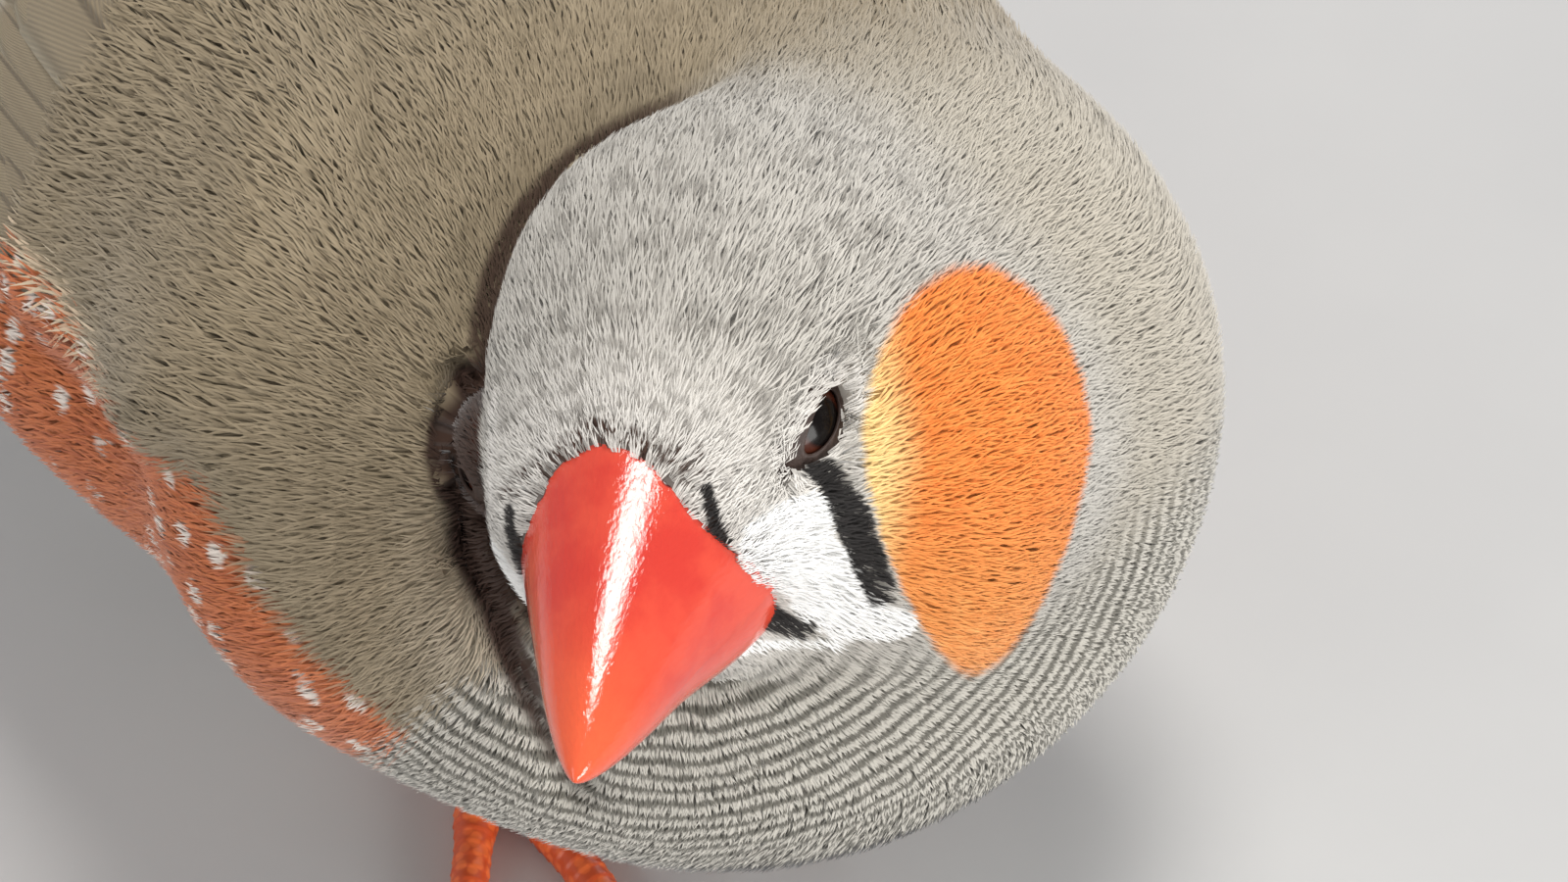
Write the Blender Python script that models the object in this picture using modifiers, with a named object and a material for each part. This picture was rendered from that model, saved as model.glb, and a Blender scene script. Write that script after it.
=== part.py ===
"""A male zebra finch that dozes on both feet with its head turned to its right.

The bird is a life-size still model. It faces -Y, its left side is +X and up is +Z.
Sizes are in millimetres up to the last step, which brings every piece to metres
and puts the origin on the floor under the middle of the whole bird.
"""

import math

import bmesh
import bpy
import numpy as np
from mathutils import Matrix, Vector

# Whole bird
MM = 0.001
BIRD = "zebra_finch"
GAP = 0.3

# Trunk, in the trunk's own axes: across, towards the tail, up
TRUNK_CENTRE = (0.0, 0.0, 24.0)
TRUNK_PITCH = 5.0
TRUNK_FORMS = (
    ((0.0, 1.5, 0.0), (14.6, 26.0, 15.0)),
    ((0.0, -10.2, -0.3), (18.8, 14.2, 15.4)),
    ((0.0, 5.7, -3.6), (17.3, 21.4, 10.1)),
    ((0.0, 20.0, 2.5), (9.0, 16.0, 8.0)),
)
NECK_FORMS = (((3.2, -17.6, -2.0), (16.9, 12.6, 15.9)),)
TRUNK_BLEND = 4.0
NECK_BLEND = 5.0
NECK_CUT = (0.0, -7.0, 0.0)
NECK_CUT_NORMAL = (0.0, -1.0, 0.45)
RUMP_CUT = 31.0

# Head, in its own axes: forwards, left, up, from the middle of the brain case
HEAD_CENTRE = (-5.2, -21.7, 32.7)
HEAD_TURN = 51.0
HEAD_LIFT = 16.0
HEAD_TILT = 18.0
HEAD_FORMS = (
    ((-4.5, 0.8, 0.7), (10.3, 10.3, 10.3)),
    ((1.2, 0.0, -0.2), (7.1, 6.7, 7.2)),
    ((-4.2, 6.4, -3.2), (8.0, 7.0, 7.5)),
    ((-4.2, -4.6, -3.0), (8.0, 7.0, 7.5)),
)
HEAD_BLEND = 2.5

# Bill, in the head's axes
BILL_BASE = (5.4, 0.0, -0.3)
BILL_TIP = (16.8, 0.0, -3.0)
BILL_HALF_WIDTH = 4.6
BILL_HALF_DEPTH = 5.0
BILL_TAPER = 0.74
BILL_PLUG = 0.5
MOUTH_BACK = -2.6
MOUTH_FRONT = -3.6
NOSTRIL = (7.9, 2.1, 2.3)
NOSTRIL_RADIUS = 0.42

# Eyes, in the head's axes
EYE_CENTRE = (2.05, 4.65, 1.9)
EYE_RADIUS = 2.4
EYE_OUTWARD = (0.30, 0.92, 0.22)
LID_THICKNESS = 0.5
LID_OPENING = (2.2, 1.05, 2.2)
LID_SLANT = -22.0

# Wings, over the trunk: along its axis and by the angle up from its side
WING_FRONT = -9.0
WING_REAR = 27.0
WING_BED = 0.5
WING_CORE = 0.9
VANE = 0.55
ENVELOPE = ((-20.0, 0.0), (8.0, 11.0), (20.0, 10.6), (30.0, 9.0), (44.0, 5.4), (52.0, 4.0))
WING_LOWER_EDGE = ((-9.0, 20.0), (-5.0, 10.0), (4.0, 7.0), (14.0, 12.0), (27.0, 31.0))
WING_UPPER_EDGE = ((-9.0, 42.0), (-5.0, 56.0), (6.0, 64.0), (18.0, 68.0), (27.0, 66.0))
# Rows of wing feathers, each with its count, the top feather's root and tip, the steps from
# one feather to the next, how much the row's ends hang back, width, and height at three stops
WING_ROWS = (
    ("primary", 5, (12.0, 40.0), (-1.0, -4.8), (44.0, 66.0), (-2.6, -4.6), 0.0, 4.6, (-0.3, -0.2, 0.0)),
    ("secondary", 5, (4.0, 46.0), (0.0, -7.2), (31.0, 56.0), (-3.0, -7.8), 0.0, 5.0, (-0.3, 0.0, 0.25)),
    ("tertial", 3, (4.0, 60.0), (-1.5, -8.0), (34.0, 76.0), (-4.5, -9.0), 0.0, 6.2, (-0.3, 0.3, 0.6)),
    ("greater_covert", 6, (-3.0, 55.0), (0.0, -7.8), (9.0, 60.0), (0.0, -8.2), 0.6, 4.3, (-0.5, 0.3, 0.6)),
    ("median_covert", 5, (-7.5, 52.0), (0.0, -7.4), (1.5, 56.0), (0.0, -8.0), 0.5, 4.6, (-0.8, 0.3, 0.8)),
)
PRIMARY_STEP = 0.06
ROW_MIDDLE = 2.0
FEATHER_TILT = 0.28
FEATHER_OUTLINE = ((0.0, 0.62), (0.25, 0.95), (0.55, 1.0), (0.8, 0.88), (1.0, 0.4))
RISE_STOPS = (0.0, 0.25, 1.0)

# Tail
TAIL_DROOP = 9.0
TAIL_LENGTH = 33.0
TAIL_ROOT = (0.0, 31.7, 1.6)
TAIL_PAIRS = 6
TAIL_FEATHER_WIDTH = 6.4
TAIL_OUTLINE = (0.5, 0.85, 1.0, 0.62)
TAIL_PAIR_STEP = 0.7
TAIL_SPREAD = (0.8, 0.25, 0.75)
TAIL_LAYER = 0.34
TAIL_SAG = 0.018
COVERT_WIDTH = 4.8
# Rows of upper tail coverts: length, half the row's width, how many, height at root and tip
COVERT_ROWS = ((15.0, 3.6, 4, 4.6, -0.6), (10.0, 2.4, 3, 5.4, 0.7))

# Legs
THIGH_CENTRE = (6.0, 3.0, 9.6)
THIGH_RADII = (3.6, 4.4, 4.6)
HEEL = (6.0, 4.4, 10.4)
TOE_JOINT = (3.7, -4.8, 2.0)
SHANK_RADII = (1.3, 0.98, 0.84, 0.84, 1.05)
TOES = (
    ("middle", -6.0, 11.0, 0.95),
    ("inner", 14.0, 8.2, 0.88),
    ("outer", -40.0, 8.8, 0.88),
    ("hind", 180.0, 7.2, 0.98),
)
TOE_STOPS = (0.0, 0.16, 0.42, 0.70, 0.96)
TOE_DROP = (0.0, -1.05, -1.35, -1.35, -1.35)
TOE_GIRTH = (1.1, 0.95, 1.0, 0.92, 0.72)
CLAW_LENGTH = 3.0
CLAW_STOPS = ((0.4, -1.0, 0.42), (1.0, -1.4, 0.1))
ANKLE_RADII = (1.35, 1.6, 1.15)
ANKLE_DROP = 0.35

# Colours, as linear values, with roughness
FINISHES = {
    "grey_plumage": ((0.42, 0.42, 0.38), 0.85),
    "brown_plumage": ((0.27, 0.24, 0.17), 0.85),
    "pale_plumage": ((0.62, 0.58, 0.52), 0.85),
    "bill_horn": ((0.72, 0.06, 0.03), 0.3),
    "eye_gloss": ((0.03, 0.01, 0.01), 0.08),
    "leg_skin": ((0.75, 0.2, 0.08), 0.5),
    "tail_plumage": ((0.03, 0.03, 0.03), 0.8),
}


def unit(v):
    """The vector at length one."""
    v = np.asarray(v, float)
    return v / np.linalg.norm(v)


def turned_axes(turn, lift, tilt):
    """Axes as columns forwards, left, up: turned to the right, lifted, left side tilted up."""
    turn, lift, tilt = (math.radians(a) for a in (turn, lift, tilt))
    level = np.array([-math.sin(turn), -math.cos(turn), 0.0])
    forwards = level * math.cos(lift) + np.array([0.0, 0.0, math.sin(lift)])
    left = unit(np.cross([0.0, 0.0, 1.0], forwards))
    up = np.cross(forwards, left)
    tilted_left = left * math.cos(tilt) + up * math.sin(tilt)
    return np.stack([forwards, tilted_left, np.cross(forwards, tilted_left)], 1)


def pitched_axes(pitch):
    """Axes as columns across, towards the tail, up: the front end raised by the pitch."""
    p = math.radians(pitch)
    return np.array([[1, 0, 0], [0, math.cos(p), math.sin(p)], [0, -math.sin(p), math.cos(p)]])


TRUNK_AXES = pitched_axes(TRUNK_PITCH)
HEAD_AXES = turned_axes(HEAD_TURN, HEAD_LIFT, HEAD_TILT)


def on_trunk(p):
    """World place of a point in the trunk's axes."""
    return np.array(TRUNK_CENTRE) + np.asarray(p, float) @ TRUNK_AXES.T


def on_head(p):
    """World place of a point in the head's axes."""
    return np.array(HEAD_CENTRE) + np.asarray(p, float) @ HEAD_AXES.T


def ellipsoid(p, centre, radii, axes):
    """About how far points are outside an ellipsoid."""
    q = (p - centre) @ axes
    scaled = np.linalg.norm(q / radii, axis=-1)
    steep = np.linalg.norm(q / np.square(radii), axis=-1)
    return scaled * (scaled - 1.0) / np.maximum(steep, 1e-9)


def soft_min(a, b, blend):
    """The smaller of two distances, rounded where they are alike."""
    h = np.clip(0.5 + 0.5 * (b - a) / blend, 0.0, 1.0)
    return b + (a - b) * h - blend * h * (1.0 - h)


def joined_forms(p, forms, place, axes, blend):
    """How far points are outside several ellipsoids that run softly together."""
    found = None
    for centre, radii in forms:
        d = ellipsoid(p, place(centre), np.array(radii), axes)
        found = d if found is None else soft_min(found, d, blend)
    return found


def trunk_field(p):
    """How far points are outside the trunk with its neck."""
    trunk = joined_forms(p, TRUNK_FORMS, on_trunk, TRUNK_AXES, TRUNK_BLEND)
    neck = joined_forms(p, NECK_FORMS, on_trunk, TRUNK_AXES, NECK_BLEND)
    return soft_min(trunk, neck, NECK_BLEND)


def head_field(p):
    """How far points are outside the feathered head."""
    return joined_forms(p, HEAD_FORMS, on_head, HEAD_AXES, HEAD_BLEND)


def reach(origin, directions, field, level, far=60.0):
    """How far each ray runs before it leaves the form, found by halving."""
    near = np.zeros(len(directions))
    beyond = np.full(len(directions), far)
    for _ in range(40):
        middle = (near + beyond) / 2.0
        inside = field(origin + directions * middle[:, None]) < level
        near = np.where(inside, middle, near)
        beyond = np.where(inside, beyond, middle)
    return (near + beyond) / 2.0


def collection(name):
    """A new collection in the scene."""
    made = bpy.data.collections.new(name)
    bpy.context.scene.collection.children.link(made)
    return made


def finish_material(name):
    """The material of a finish, made once."""
    if name in bpy.data.materials:
        return bpy.data.materials[name]
    material = bpy.data.materials.new(name)
    material.use_nodes = True
    shader = material.node_tree.nodes["Principled BSDF"]
    colour, roughness = FINISHES[name]
    shader.inputs["Base Color"].default_value = (*colour, 1.0)
    shader.inputs["Roughness"].default_value = roughness
    shader.inputs["Metallic"].default_value = 0.0
    return material


def face_outwards(bm):
    """Turns the faces of a closed mesh so that they point out."""
    bmesh.ops.recalc_face_normals(bm, faces=bm.faces)
    if bm.calc_volume(signed=True) < 0.0:
        bmesh.ops.reverse_faces(bm, faces=bm.faces)


def object_from(bm, name, home):
    """An object from a bmesh, linked into a collection."""
    mesh = bpy.data.meshes.new(name)
    bm.to_mesh(mesh)
    bm.free()
    made = bpy.data.objects.new(name, mesh)
    home.objects.link(made)
    return made


def ball(name, centre, stretch, axes, field, level, home, segments=36, rings=24):
    """A sphere whose points are pushed out along rays to the surface of a form."""
    bm = bmesh.new()
    bmesh.ops.create_uvsphere(bm, u_segments=segments, v_segments=rings, radius=1.0)
    rays = np.array([v.co for v in bm.verts])
    rays = (rays[:, [0, 2, 1]] * stretch) @ axes.T
    rays /= np.linalg.norm(rays, axis=1)[:, None]
    places = np.array(centre) + rays * reach(np.array(centre), rays, field, level)[:, None]
    for v, place in zip(bm.verts, places):
        v.co = place
    face_outwards(bm)
    return object_from(bm, name, home)


def egg(name, centre, radii, axes, home, segments=16, rings=10):
    """An ellipsoid."""
    bm = bmesh.new()
    bmesh.ops.create_uvsphere(bm, u_segments=segments, v_segments=rings, radius=1.0)
    for v in bm.verts:
        v.co = np.array(centre) + axes @ (np.array(v.co) * radii)
    face_outwards(bm)
    return object_from(bm, name, home)


def keep_side(thing, point, normal):
    """Cuts a piece by a plane, keeps what lies on the normal's side and caps it."""
    bm = bmesh.new()
    bm.from_mesh(thing.data)
    everything = bm.verts[:] + bm.edges[:] + bm.faces[:]
    cut = bmesh.ops.bisect_plane(
        bm, geom=everything, dist=1e-5, plane_co=Vector(point), plane_no=Vector(normal), clear_inner=True
    )
    rim = [e for e in cut["geom_cut"] if isinstance(e, bmesh.types.BMEdge)]
    bmesh.ops.holes_fill(bm, edges=rim, sides=0)
    face_outwards(bm)
    bm.to_mesh(thing.data)
    bm.free()


def copy_of(thing, name, home):
    """A copy with its own mesh."""
    made = bpy.data.objects.new(name, thing.data.copy())
    made.data.name = name
    home.objects.link(made)
    return made


def settle_modifiers(thing):
    """Replaces the mesh with what the modifiers make of it."""
    graph = bpy.context.evaluated_depsgraph_get()
    mesh = bpy.data.meshes.new_from_object(thing.evaluated_get(graph))
    thing.modifiers.clear()
    thing.data = mesh


def combine(thing, others, operation, solver="EXACT"):
    """One Boolean of a piece with all objects of a collection, which are then removed."""
    cut = thing.modifiers.new("join", "BOOLEAN")
    cut.operation = operation
    cut.solver = solver
    cut.operand_type = "COLLECTION"
    cut.collection = others
    settle_modifiers(thing)
    for other in list(others.objects):
        bpy.data.objects.remove(other)
    bpy.data.collections.remove(others)


def keep_largest(thing):
    """Keeps the closed surface that has the most faces' area."""
    bm = bmesh.new()
    bm.from_mesh(thing.data)
    left = set(bm.faces)
    shells = []
    while left:
        stack = [left.pop()]
        shell = list(stack)
        while stack:
            for edge in stack.pop().edges:
                for face in edge.link_faces:
                    if face in left:
                        left.remove(face)
                        stack.append(face)
                        shell.append(face)
        shells.append(shell)
    shells.sort(key=lambda s: sum(f.calc_area() for f in s))
    for shell in shells[:-1]:
        bmesh.ops.delete(bm, geom=shell, context="FACES")
    bmesh.ops.delete(bm, geom=[v for v in bm.verts if not v.link_faces], context="VERTS")
    bmesh.ops.triangulate(bm, faces=bm.faces)
    pinched = [e for e in bm.edges if len(e.link_faces) > 2]
    if pinched:
        bmesh.ops.collapse(bm, edges=pinched)
        bmesh.ops.delete(bm, geom=[e for e in bm.edges if not e.link_faces], context="EDGES")
    face_outwards(bm)
    bm.to_mesh(thing.data)
    bm.free()


def tube(name, points, radii, home, resolution=2):
    """A round tube along points, with its own radius at each, as a closed mesh."""
    curve = bpy.data.curves.new(name, "CURVE")
    curve.dimensions = "3D"
    curve.bevel_depth = 1.0
    curve.bevel_resolution = resolution
    curve.use_fill_caps = True
    spline = curve.splines.new("POLY")
    spline.points.add(len(points) - 1)
    for point, place, radius in zip(spline.points, points, radii):
        point.co = (*place, 1.0)
        point.radius = radius
    drawn = bpy.data.objects.new(name, curve)
    home.objects.link(drawn)
    graph = bpy.context.evaluated_depsgraph_get()
    mesh = bpy.data.meshes.new_from_object(drawn.evaluated_get(graph))
    bpy.data.objects.remove(drawn)
    bm = bmesh.new()
    bm.from_mesh(mesh)
    bmesh.ops.remove_doubles(bm, verts=bm.verts, dist=1e-4)
    face_outwards(bm)
    return object_from(bm, name, home)


def vane(name, spine, across, outward, widths, home, tilt=0.0, thickness=VANE):
    """A thin feather: a strip along its spine, given its thickness.

    The tilt lowers the strip's first edge and raises its last edge, as feathers overlap.
    """
    rows = len(spine)
    bm = bmesh.new()
    bmesh.ops.create_grid(bm, x_segments=1, y_segments=rows - 1, size=1.0)
    corners = sorted(bm.verts, key=lambda v: (round(v.co.y, 4), v.co.x))
    for row in range(rows):
        for column, lean in enumerate((-0.5, 0.5)):
            place = spine[row] + across[row] * widths[row] * lean
            corners[row * 2 + column].co = place + outward[row] * tilt * lean * 2.0
    bmesh.ops.triangulate(bm, faces=bm.faces)
    made = object_from(bm, name, home)
    wall = made.modifiers.new("thickness", "SOLIDIFY")
    wall.thickness = thickness
    wall.offset = 0.0
    wall.use_even_offset = False
    settle_modifiers(made)
    bm = bmesh.new()
    bm.from_mesh(made.data)
    face_outwards(bm)
    bm.to_mesh(made.data)
    bm.free()
    return made


def table(knots, at):
    """A value read from named knots, straight between them."""
    return np.interp(at, [k[0] for k in knots], [k[1] for k in knots])


def wing_place(side, along, angle, rise):
    """A point over the flank at a height above the wing's bed."""
    along = np.atleast_1d(np.asarray(along, float))
    angle = np.radians(np.atleast_1d(np.asarray(angle, float)))
    spokes = np.stack([np.cos(angle) * side, np.zeros_like(angle), np.sin(angle)], 1) @ TRUNK_AXES.T
    hubs = on_trunk(np.stack([np.zeros_like(along), along, np.zeros_like(along)], 1))
    bed = reach(hubs, spokes, trunk_field, WING_BED)
    bed = np.where(trunk_field(hubs) < 0.0, bed, 0.0)
    outer = table(ENVELOPE, along)
    bed = -soft_min(-bed, -outer, 1.5)
    return hubs + spokes * (bed + np.asarray(rise, float))[:, None]


def wing_core(side, home):
    """The plain shell under the wing's feathers."""
    bm = bmesh.new()
    columns, rows = 14, 6
    bmesh.ops.create_grid(bm, x_segments=columns, y_segments=rows, size=0.5)
    grid = np.array([v.co for v in bm.verts]) + 0.5
    along = WING_FRONT + grid[:, 0] * (WING_REAR - WING_FRONT)
    low = table(WING_LOWER_EDGE, along)
    high = table(WING_UPPER_EDGE, along)
    places = wing_place(side, along, low + grid[:, 1] * (high - low), WING_CORE / 2.0)
    for v, place in zip(bm.verts, places):
        v.co = place
    bmesh.ops.triangulate(bm, faces=bm.faces)
    made = object_from(bm, "wing_" + ("left" if side > 0 else "right"), home)
    wall = made.modifiers.new("thickness", "SOLIDIFY")
    wall.thickness = WING_CORE
    wall.offset = 0.0
    settle_modifiers(made)
    bm = bmesh.new()
    bm.from_mesh(made.data)
    face_outwards(bm)
    bm.to_mesh(made.data)
    bm.free()
    return made


def wing_vane(name, side, root, tip, width, rise, home):
    """A feather laid over the wing from a root to a tip, both as (along, angle)."""
    t = np.linspace(0.0, 1.0, 5)
    along = root[0] + (tip[0] - root[0]) * t
    angle = root[1] + (tip[1] - root[1]) * t
    heights = WING_CORE + np.interp(t, RISE_STOPS, rise)
    spine = wing_place(side, along, angle, heights)
    outer = wing_place(side, along, angle, heights + 1.0)
    outward = outer - spine
    ahead = np.gradient(spine, axis=0)
    across = np.cross(ahead, outward) * -side
    across /= np.linalg.norm(across, axis=1)[:, None]
    return vane(name, spine, across, outward, width * table(FEATHER_OUTLINE, t), home, tilt=-FEATHER_TILT)


def wing(side, parts):
    """A folded wing: the shell with its rows of feathers joined to it."""
    core = wing_core(side, parts)
    feathers = collection("feathers")
    for name, count, root, root_step, tip, tip_step, bow, width, rise in WING_ROWS:
        for i in range(count):
            back = abs(i - ROW_MIDDLE) * bow
            start = (root[0] + root_step[0] * i + back / 2.0, root[1] + root_step[1] * i)
            end = (tip[0] + tip_step[0] * i - back, tip[1] + tip_step[1] * i)
            heights = (rise[0], rise[1], rise[2] - PRIMARY_STEP * i * (name == "primary"))
            wing_vane(f"{name}_{i}", side, start, end, width, heights, feathers)
    combine(core, feathers, "UNION", "MANIFOLD")
    keep_largest(core)
    return core


def bill_shape(name, home, swell):
    """The whole bill: a sphere drawn out to a cone with a curved profile."""
    base, tip = np.array(BILL_BASE), np.array(BILL_TIP)
    along = unit(tip - base)
    length = np.linalg.norm(tip - base)
    side = np.array([0.0, 1.0, 0.0])
    up = np.cross(along, side)
    bm = bmesh.new()
    bmesh.ops.create_uvsphere(bm, u_segments=16, v_segments=16, radius=1.0)
    for v in bm.verts:
        x, y, z = v.co
        rim = math.hypot(x, y)
        t = max(z, 0.0)
        girth = (1.0 - t) ** BILL_TAPER if z > 0 else rim ** 0.35
        turn = math.atan2(y, x)
        ahead = t * (length + swell) if z > 0 else z * (BILL_PLUG + swell)
        if rim < 1e-5:
            girth = 0.0
        place = base + along * ahead
        place = place + side * math.cos(turn) * girth * (BILL_HALF_WIDTH + swell)
        place = place + up * math.sin(turn) * girth * (BILL_HALF_DEPTH + swell)
        v.co = on_head(place)
    face_outwards(bm)
    return object_from(bm, name, home)


def bill(parts):
    """The upper and the lower half of the bill, parted along the mouth."""
    whole = bill_shape("bill_upper", parts, 0.0)
    lower = copy_of(whole, "bill_lower", parts)
    back = np.array((BILL_BASE[0], 0.0, MOUTH_BACK))
    front = np.array((BILL_TIP[0], 0.0, MOUTH_FRONT))
    rise = np.cross(unit(front - back), (0.0, 1.0, 0.0))
    rise = HEAD_AXES @ rise
    middle = on_head((back + front) / 2.0)
    keep_side(whole, middle + rise * GAP / 2.0, rise)
    keep_side(lower, middle - rise * GAP / 2.0, -rise)
    holes = collection("nostrils")
    for side in (1.0, -1.0):
        place = on_head(np.array(NOSTRIL) * (1.0, side, 1.0))
        egg("nostril", place, (NOSTRIL_RADIUS,) * 3, HEAD_AXES, holes, 8, 6)
    combine(whole, holes, "DIFFERENCE")
    for piece in (whole, lower):
        keep_largest(piece)
    return whole, lower


def lid_frame(side):
    """Axes of an eye's opening: along the slit, across it, outwards."""
    outward = unit(np.array(EYE_OUTWARD) * (1.0, side, 1.0))
    slit = np.array([math.cos(math.radians(LID_SLANT)), 0.0, math.sin(math.radians(LID_SLANT))])
    slit = unit(slit - outward * (slit @ outward))
    return HEAD_AXES @ np.stack([slit, np.cross(outward, slit), outward], 1)


def head(parts):
    """The head with its lids, sockets and the seat of the bill, and the two eyes."""
    centre = on_head((-3.0, 0.0, 0.0))
    skull = ball("head", centre, (1.0, 1.0, 1.0), HEAD_AXES, head_field, 0.0, parts, 36, 22)
    lids = collection("lids")
    hollows = collection("hollows")
    eyes = []
    for side, label in ((1.0, "left"), (-1.0, "right")):
        place = on_head(np.array(EYE_CENTRE) * (1.0, side, 1.0))
        axes = lid_frame(side)
        eyes.append(egg(f"eye_{label}", place, (EYE_RADIUS,) * 3, axes, parts, 12, 10))
        egg("lid", place, (EYE_RADIUS + GAP + LID_THICKNESS,) * 3, axes, lids, 18, 12)
        egg("socket", place, (EYE_RADIUS + GAP,) * 3, axes, hollows, 16, 12)
        opening = place + axes[:, 2] * EYE_RADIUS
        egg("opening", opening, LID_OPENING, axes, hollows, 14, 8)
    bill_shape("bill_seat", hollows, GAP)
    combine(skull, lids, "UNION")
    combine(skull, hollows, "DIFFERENCE")
    keep_largest(skull)
    return [skull, *eyes]


def tail_feathers(home):
    """Six pairs of tail feathers in a closed fan, the middle pair on top, and their coverts."""
    droop = math.radians(TAIL_DROOP)
    across = TRUNK_AXES[:, 0]
    outward = TRUNK_AXES[:, 2]
    outline = np.array(TAIL_OUTLINE)
    t = np.linspace(0.0, 1.0, len(outline))
    root = np.array(TAIL_ROOT)
    start, step, fan = TAIL_SPREAD
    for pair in range(TAIL_PAIRS):
        for side in (1.0, -1.0):
            length = TAIL_LENGTH - pair * TAIL_PAIR_STEP
            spread = side * (start + pair * (step + fan * t))
            sink = TAIL_LAYER * (pair + (0.5 if side < 0 else 0.0))
            back = t * length * math.cos(droop)
            fall = t * length * math.sin(droop) + TAIL_SAG * length * t * t
            spine = on_trunk(np.stack([spread, back, -fall - sink], 1) + root)
            ways = (np.repeat([across * side], len(t), 0), np.repeat([outward], len(t), 0))
            vane(f"rectrix_{pair}_{side:.0f}", spine, *ways, TAIL_FEATHER_WIDTH * outline, home, tilt=0.12)
    for row, (length, half, count, high, low) in enumerate(COVERT_ROWS):
        for i in range(count):
            lean = 2.0 * i / (count - 1) - 1.0
            start = np.array([lean * half * 0.8, 0.6, high - abs(lean) * 1.2])
            end = np.array([lean * half * 1.3, length - abs(lean) * 2.0, low - abs(lean) * 0.8])
            spine = on_trunk(start + (end - start) * t[:, None] + root)
            ways = (np.repeat([across], len(t), 0), np.repeat([outward], len(t), 0))
            vane(f"upper_covert_{row}_{i}", spine, *ways, COVERT_WIDTH * outline[::-1], home, tilt=0.15 * lean)


def trunk(parts, scratch):
    """Neck, torso and tail from one body form, parted by thin plane cuts."""
    centre = on_trunk((1.0, -2.0, 0.0))
    whole = ball("whole", centre, (1.0, 1.7, 1.0), TRUNK_AXES, trunk_field, 0.0, scratch, 36, 28)
    neck_plane = on_trunk(NECK_CUT)
    neck_way = TRUNK_AXES @ unit(NECK_CUT_NORMAL)
    tail_plane = on_trunk((0.0, RUMP_CUT, 0.0))
    tail_way = TRUNK_AXES[:, 1]
    neck = copy_of(whole, "neck", parts)
    keep_side(neck, neck_plane + neck_way * GAP / 2.0, neck_way)
    torso = copy_of(whole, "torso", parts)
    keep_side(torso, neck_plane - neck_way * GAP / 2.0, -neck_way)
    keep_side(torso, tail_plane - tail_way * GAP / 2.0, -tail_way)
    tail = copy_of(whole, "tail", parts)
    keep_side(tail, tail_plane + tail_way * GAP / 2.0, tail_way)
    return neck, torso, tail


def toe(name, side, heading, length, radius, home):
    """A toe with its joints and a curved claw, as one tapering tube."""
    turn = math.radians(heading) * side
    way = np.array([-math.sin(turn), -math.cos(turn), 0.0])
    start = np.array(TOE_JOINT) * (side, 1.0, 1.0)
    lift = np.array([0.0, 0.0, 1.0])
    points = [start + way * length * r + lift * h for r, h in zip(TOE_STOPS, TOE_DROP)]
    radii = [radius * girth for girth in TOE_GIRTH]
    for share, drop, thick in CLAW_STOPS:
        points.append(start + way * (length + CLAW_LENGTH * share) + lift * drop)
        radii.append(thick)
    return tube(name, points, radii, home)


def leg(side, label, torso_clear, parts):
    """Thigh, shank and foot of one leg, each cut clear of the one before."""
    mirror = np.array((side, 1.0, 1.0))
    knee, heel, toes = (np.array(p) * mirror for p in (THIGH_CENTRE, HEEL, TOE_JOINT))
    level = np.eye(3)
    thigh = egg(f"thigh_{label}", knee, THIGH_RADII, level, parts, 14, 10)
    clear = collection("clear")
    copy_of(torso_clear, "clear", clear)
    combine(thigh, clear, "DIFFERENCE")
    keep_largest(thigh)
    stops = np.linspace(0.0, 1.0, len(SHANK_RADII))
    points = [heel + (toes - heel) * s for s in stops]
    shank = tube(f"tarsus_{label}", points, SHANK_RADII, parts)
    pieces = collection("toes")
    for name, heading, length, radius in TOES:
        toe(name, side, heading, length, radius, pieces)
    ankle = toes - np.array([0.0, 0.0, ANKLE_DROP])
    foot = egg(f"foot_{label}", ankle, ANKLE_RADII, level, parts, 10, 8)
    combine(foot, pieces, "UNION")
    keep_side(foot, (0.0, 0.0, 0.0), (0.0, 0.0, 1.0))
    keep_largest(foot)
    clear = collection("clear")
    egg("ankle", ankle, np.array(ANKLE_RADII) + GAP, level, clear, 16, 12)
    egg("knee", knee, np.array(THIGH_RADII) + GAP, level, clear, 24, 18)
    combine(shank, clear, "DIFFERENCE")
    keep_largest(shank)
    return thigh, shank, foot


def dress(piece, finish):
    """Gives a piece its finish and smooth shading with sharp edges kept."""
    piece.data.materials.clear()
    piece.data.materials.append(finish_material(finish))
    piece.data.shade_smooth()
    piece.data.set_sharp_from_angle(angle=math.radians(40.0))


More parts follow.
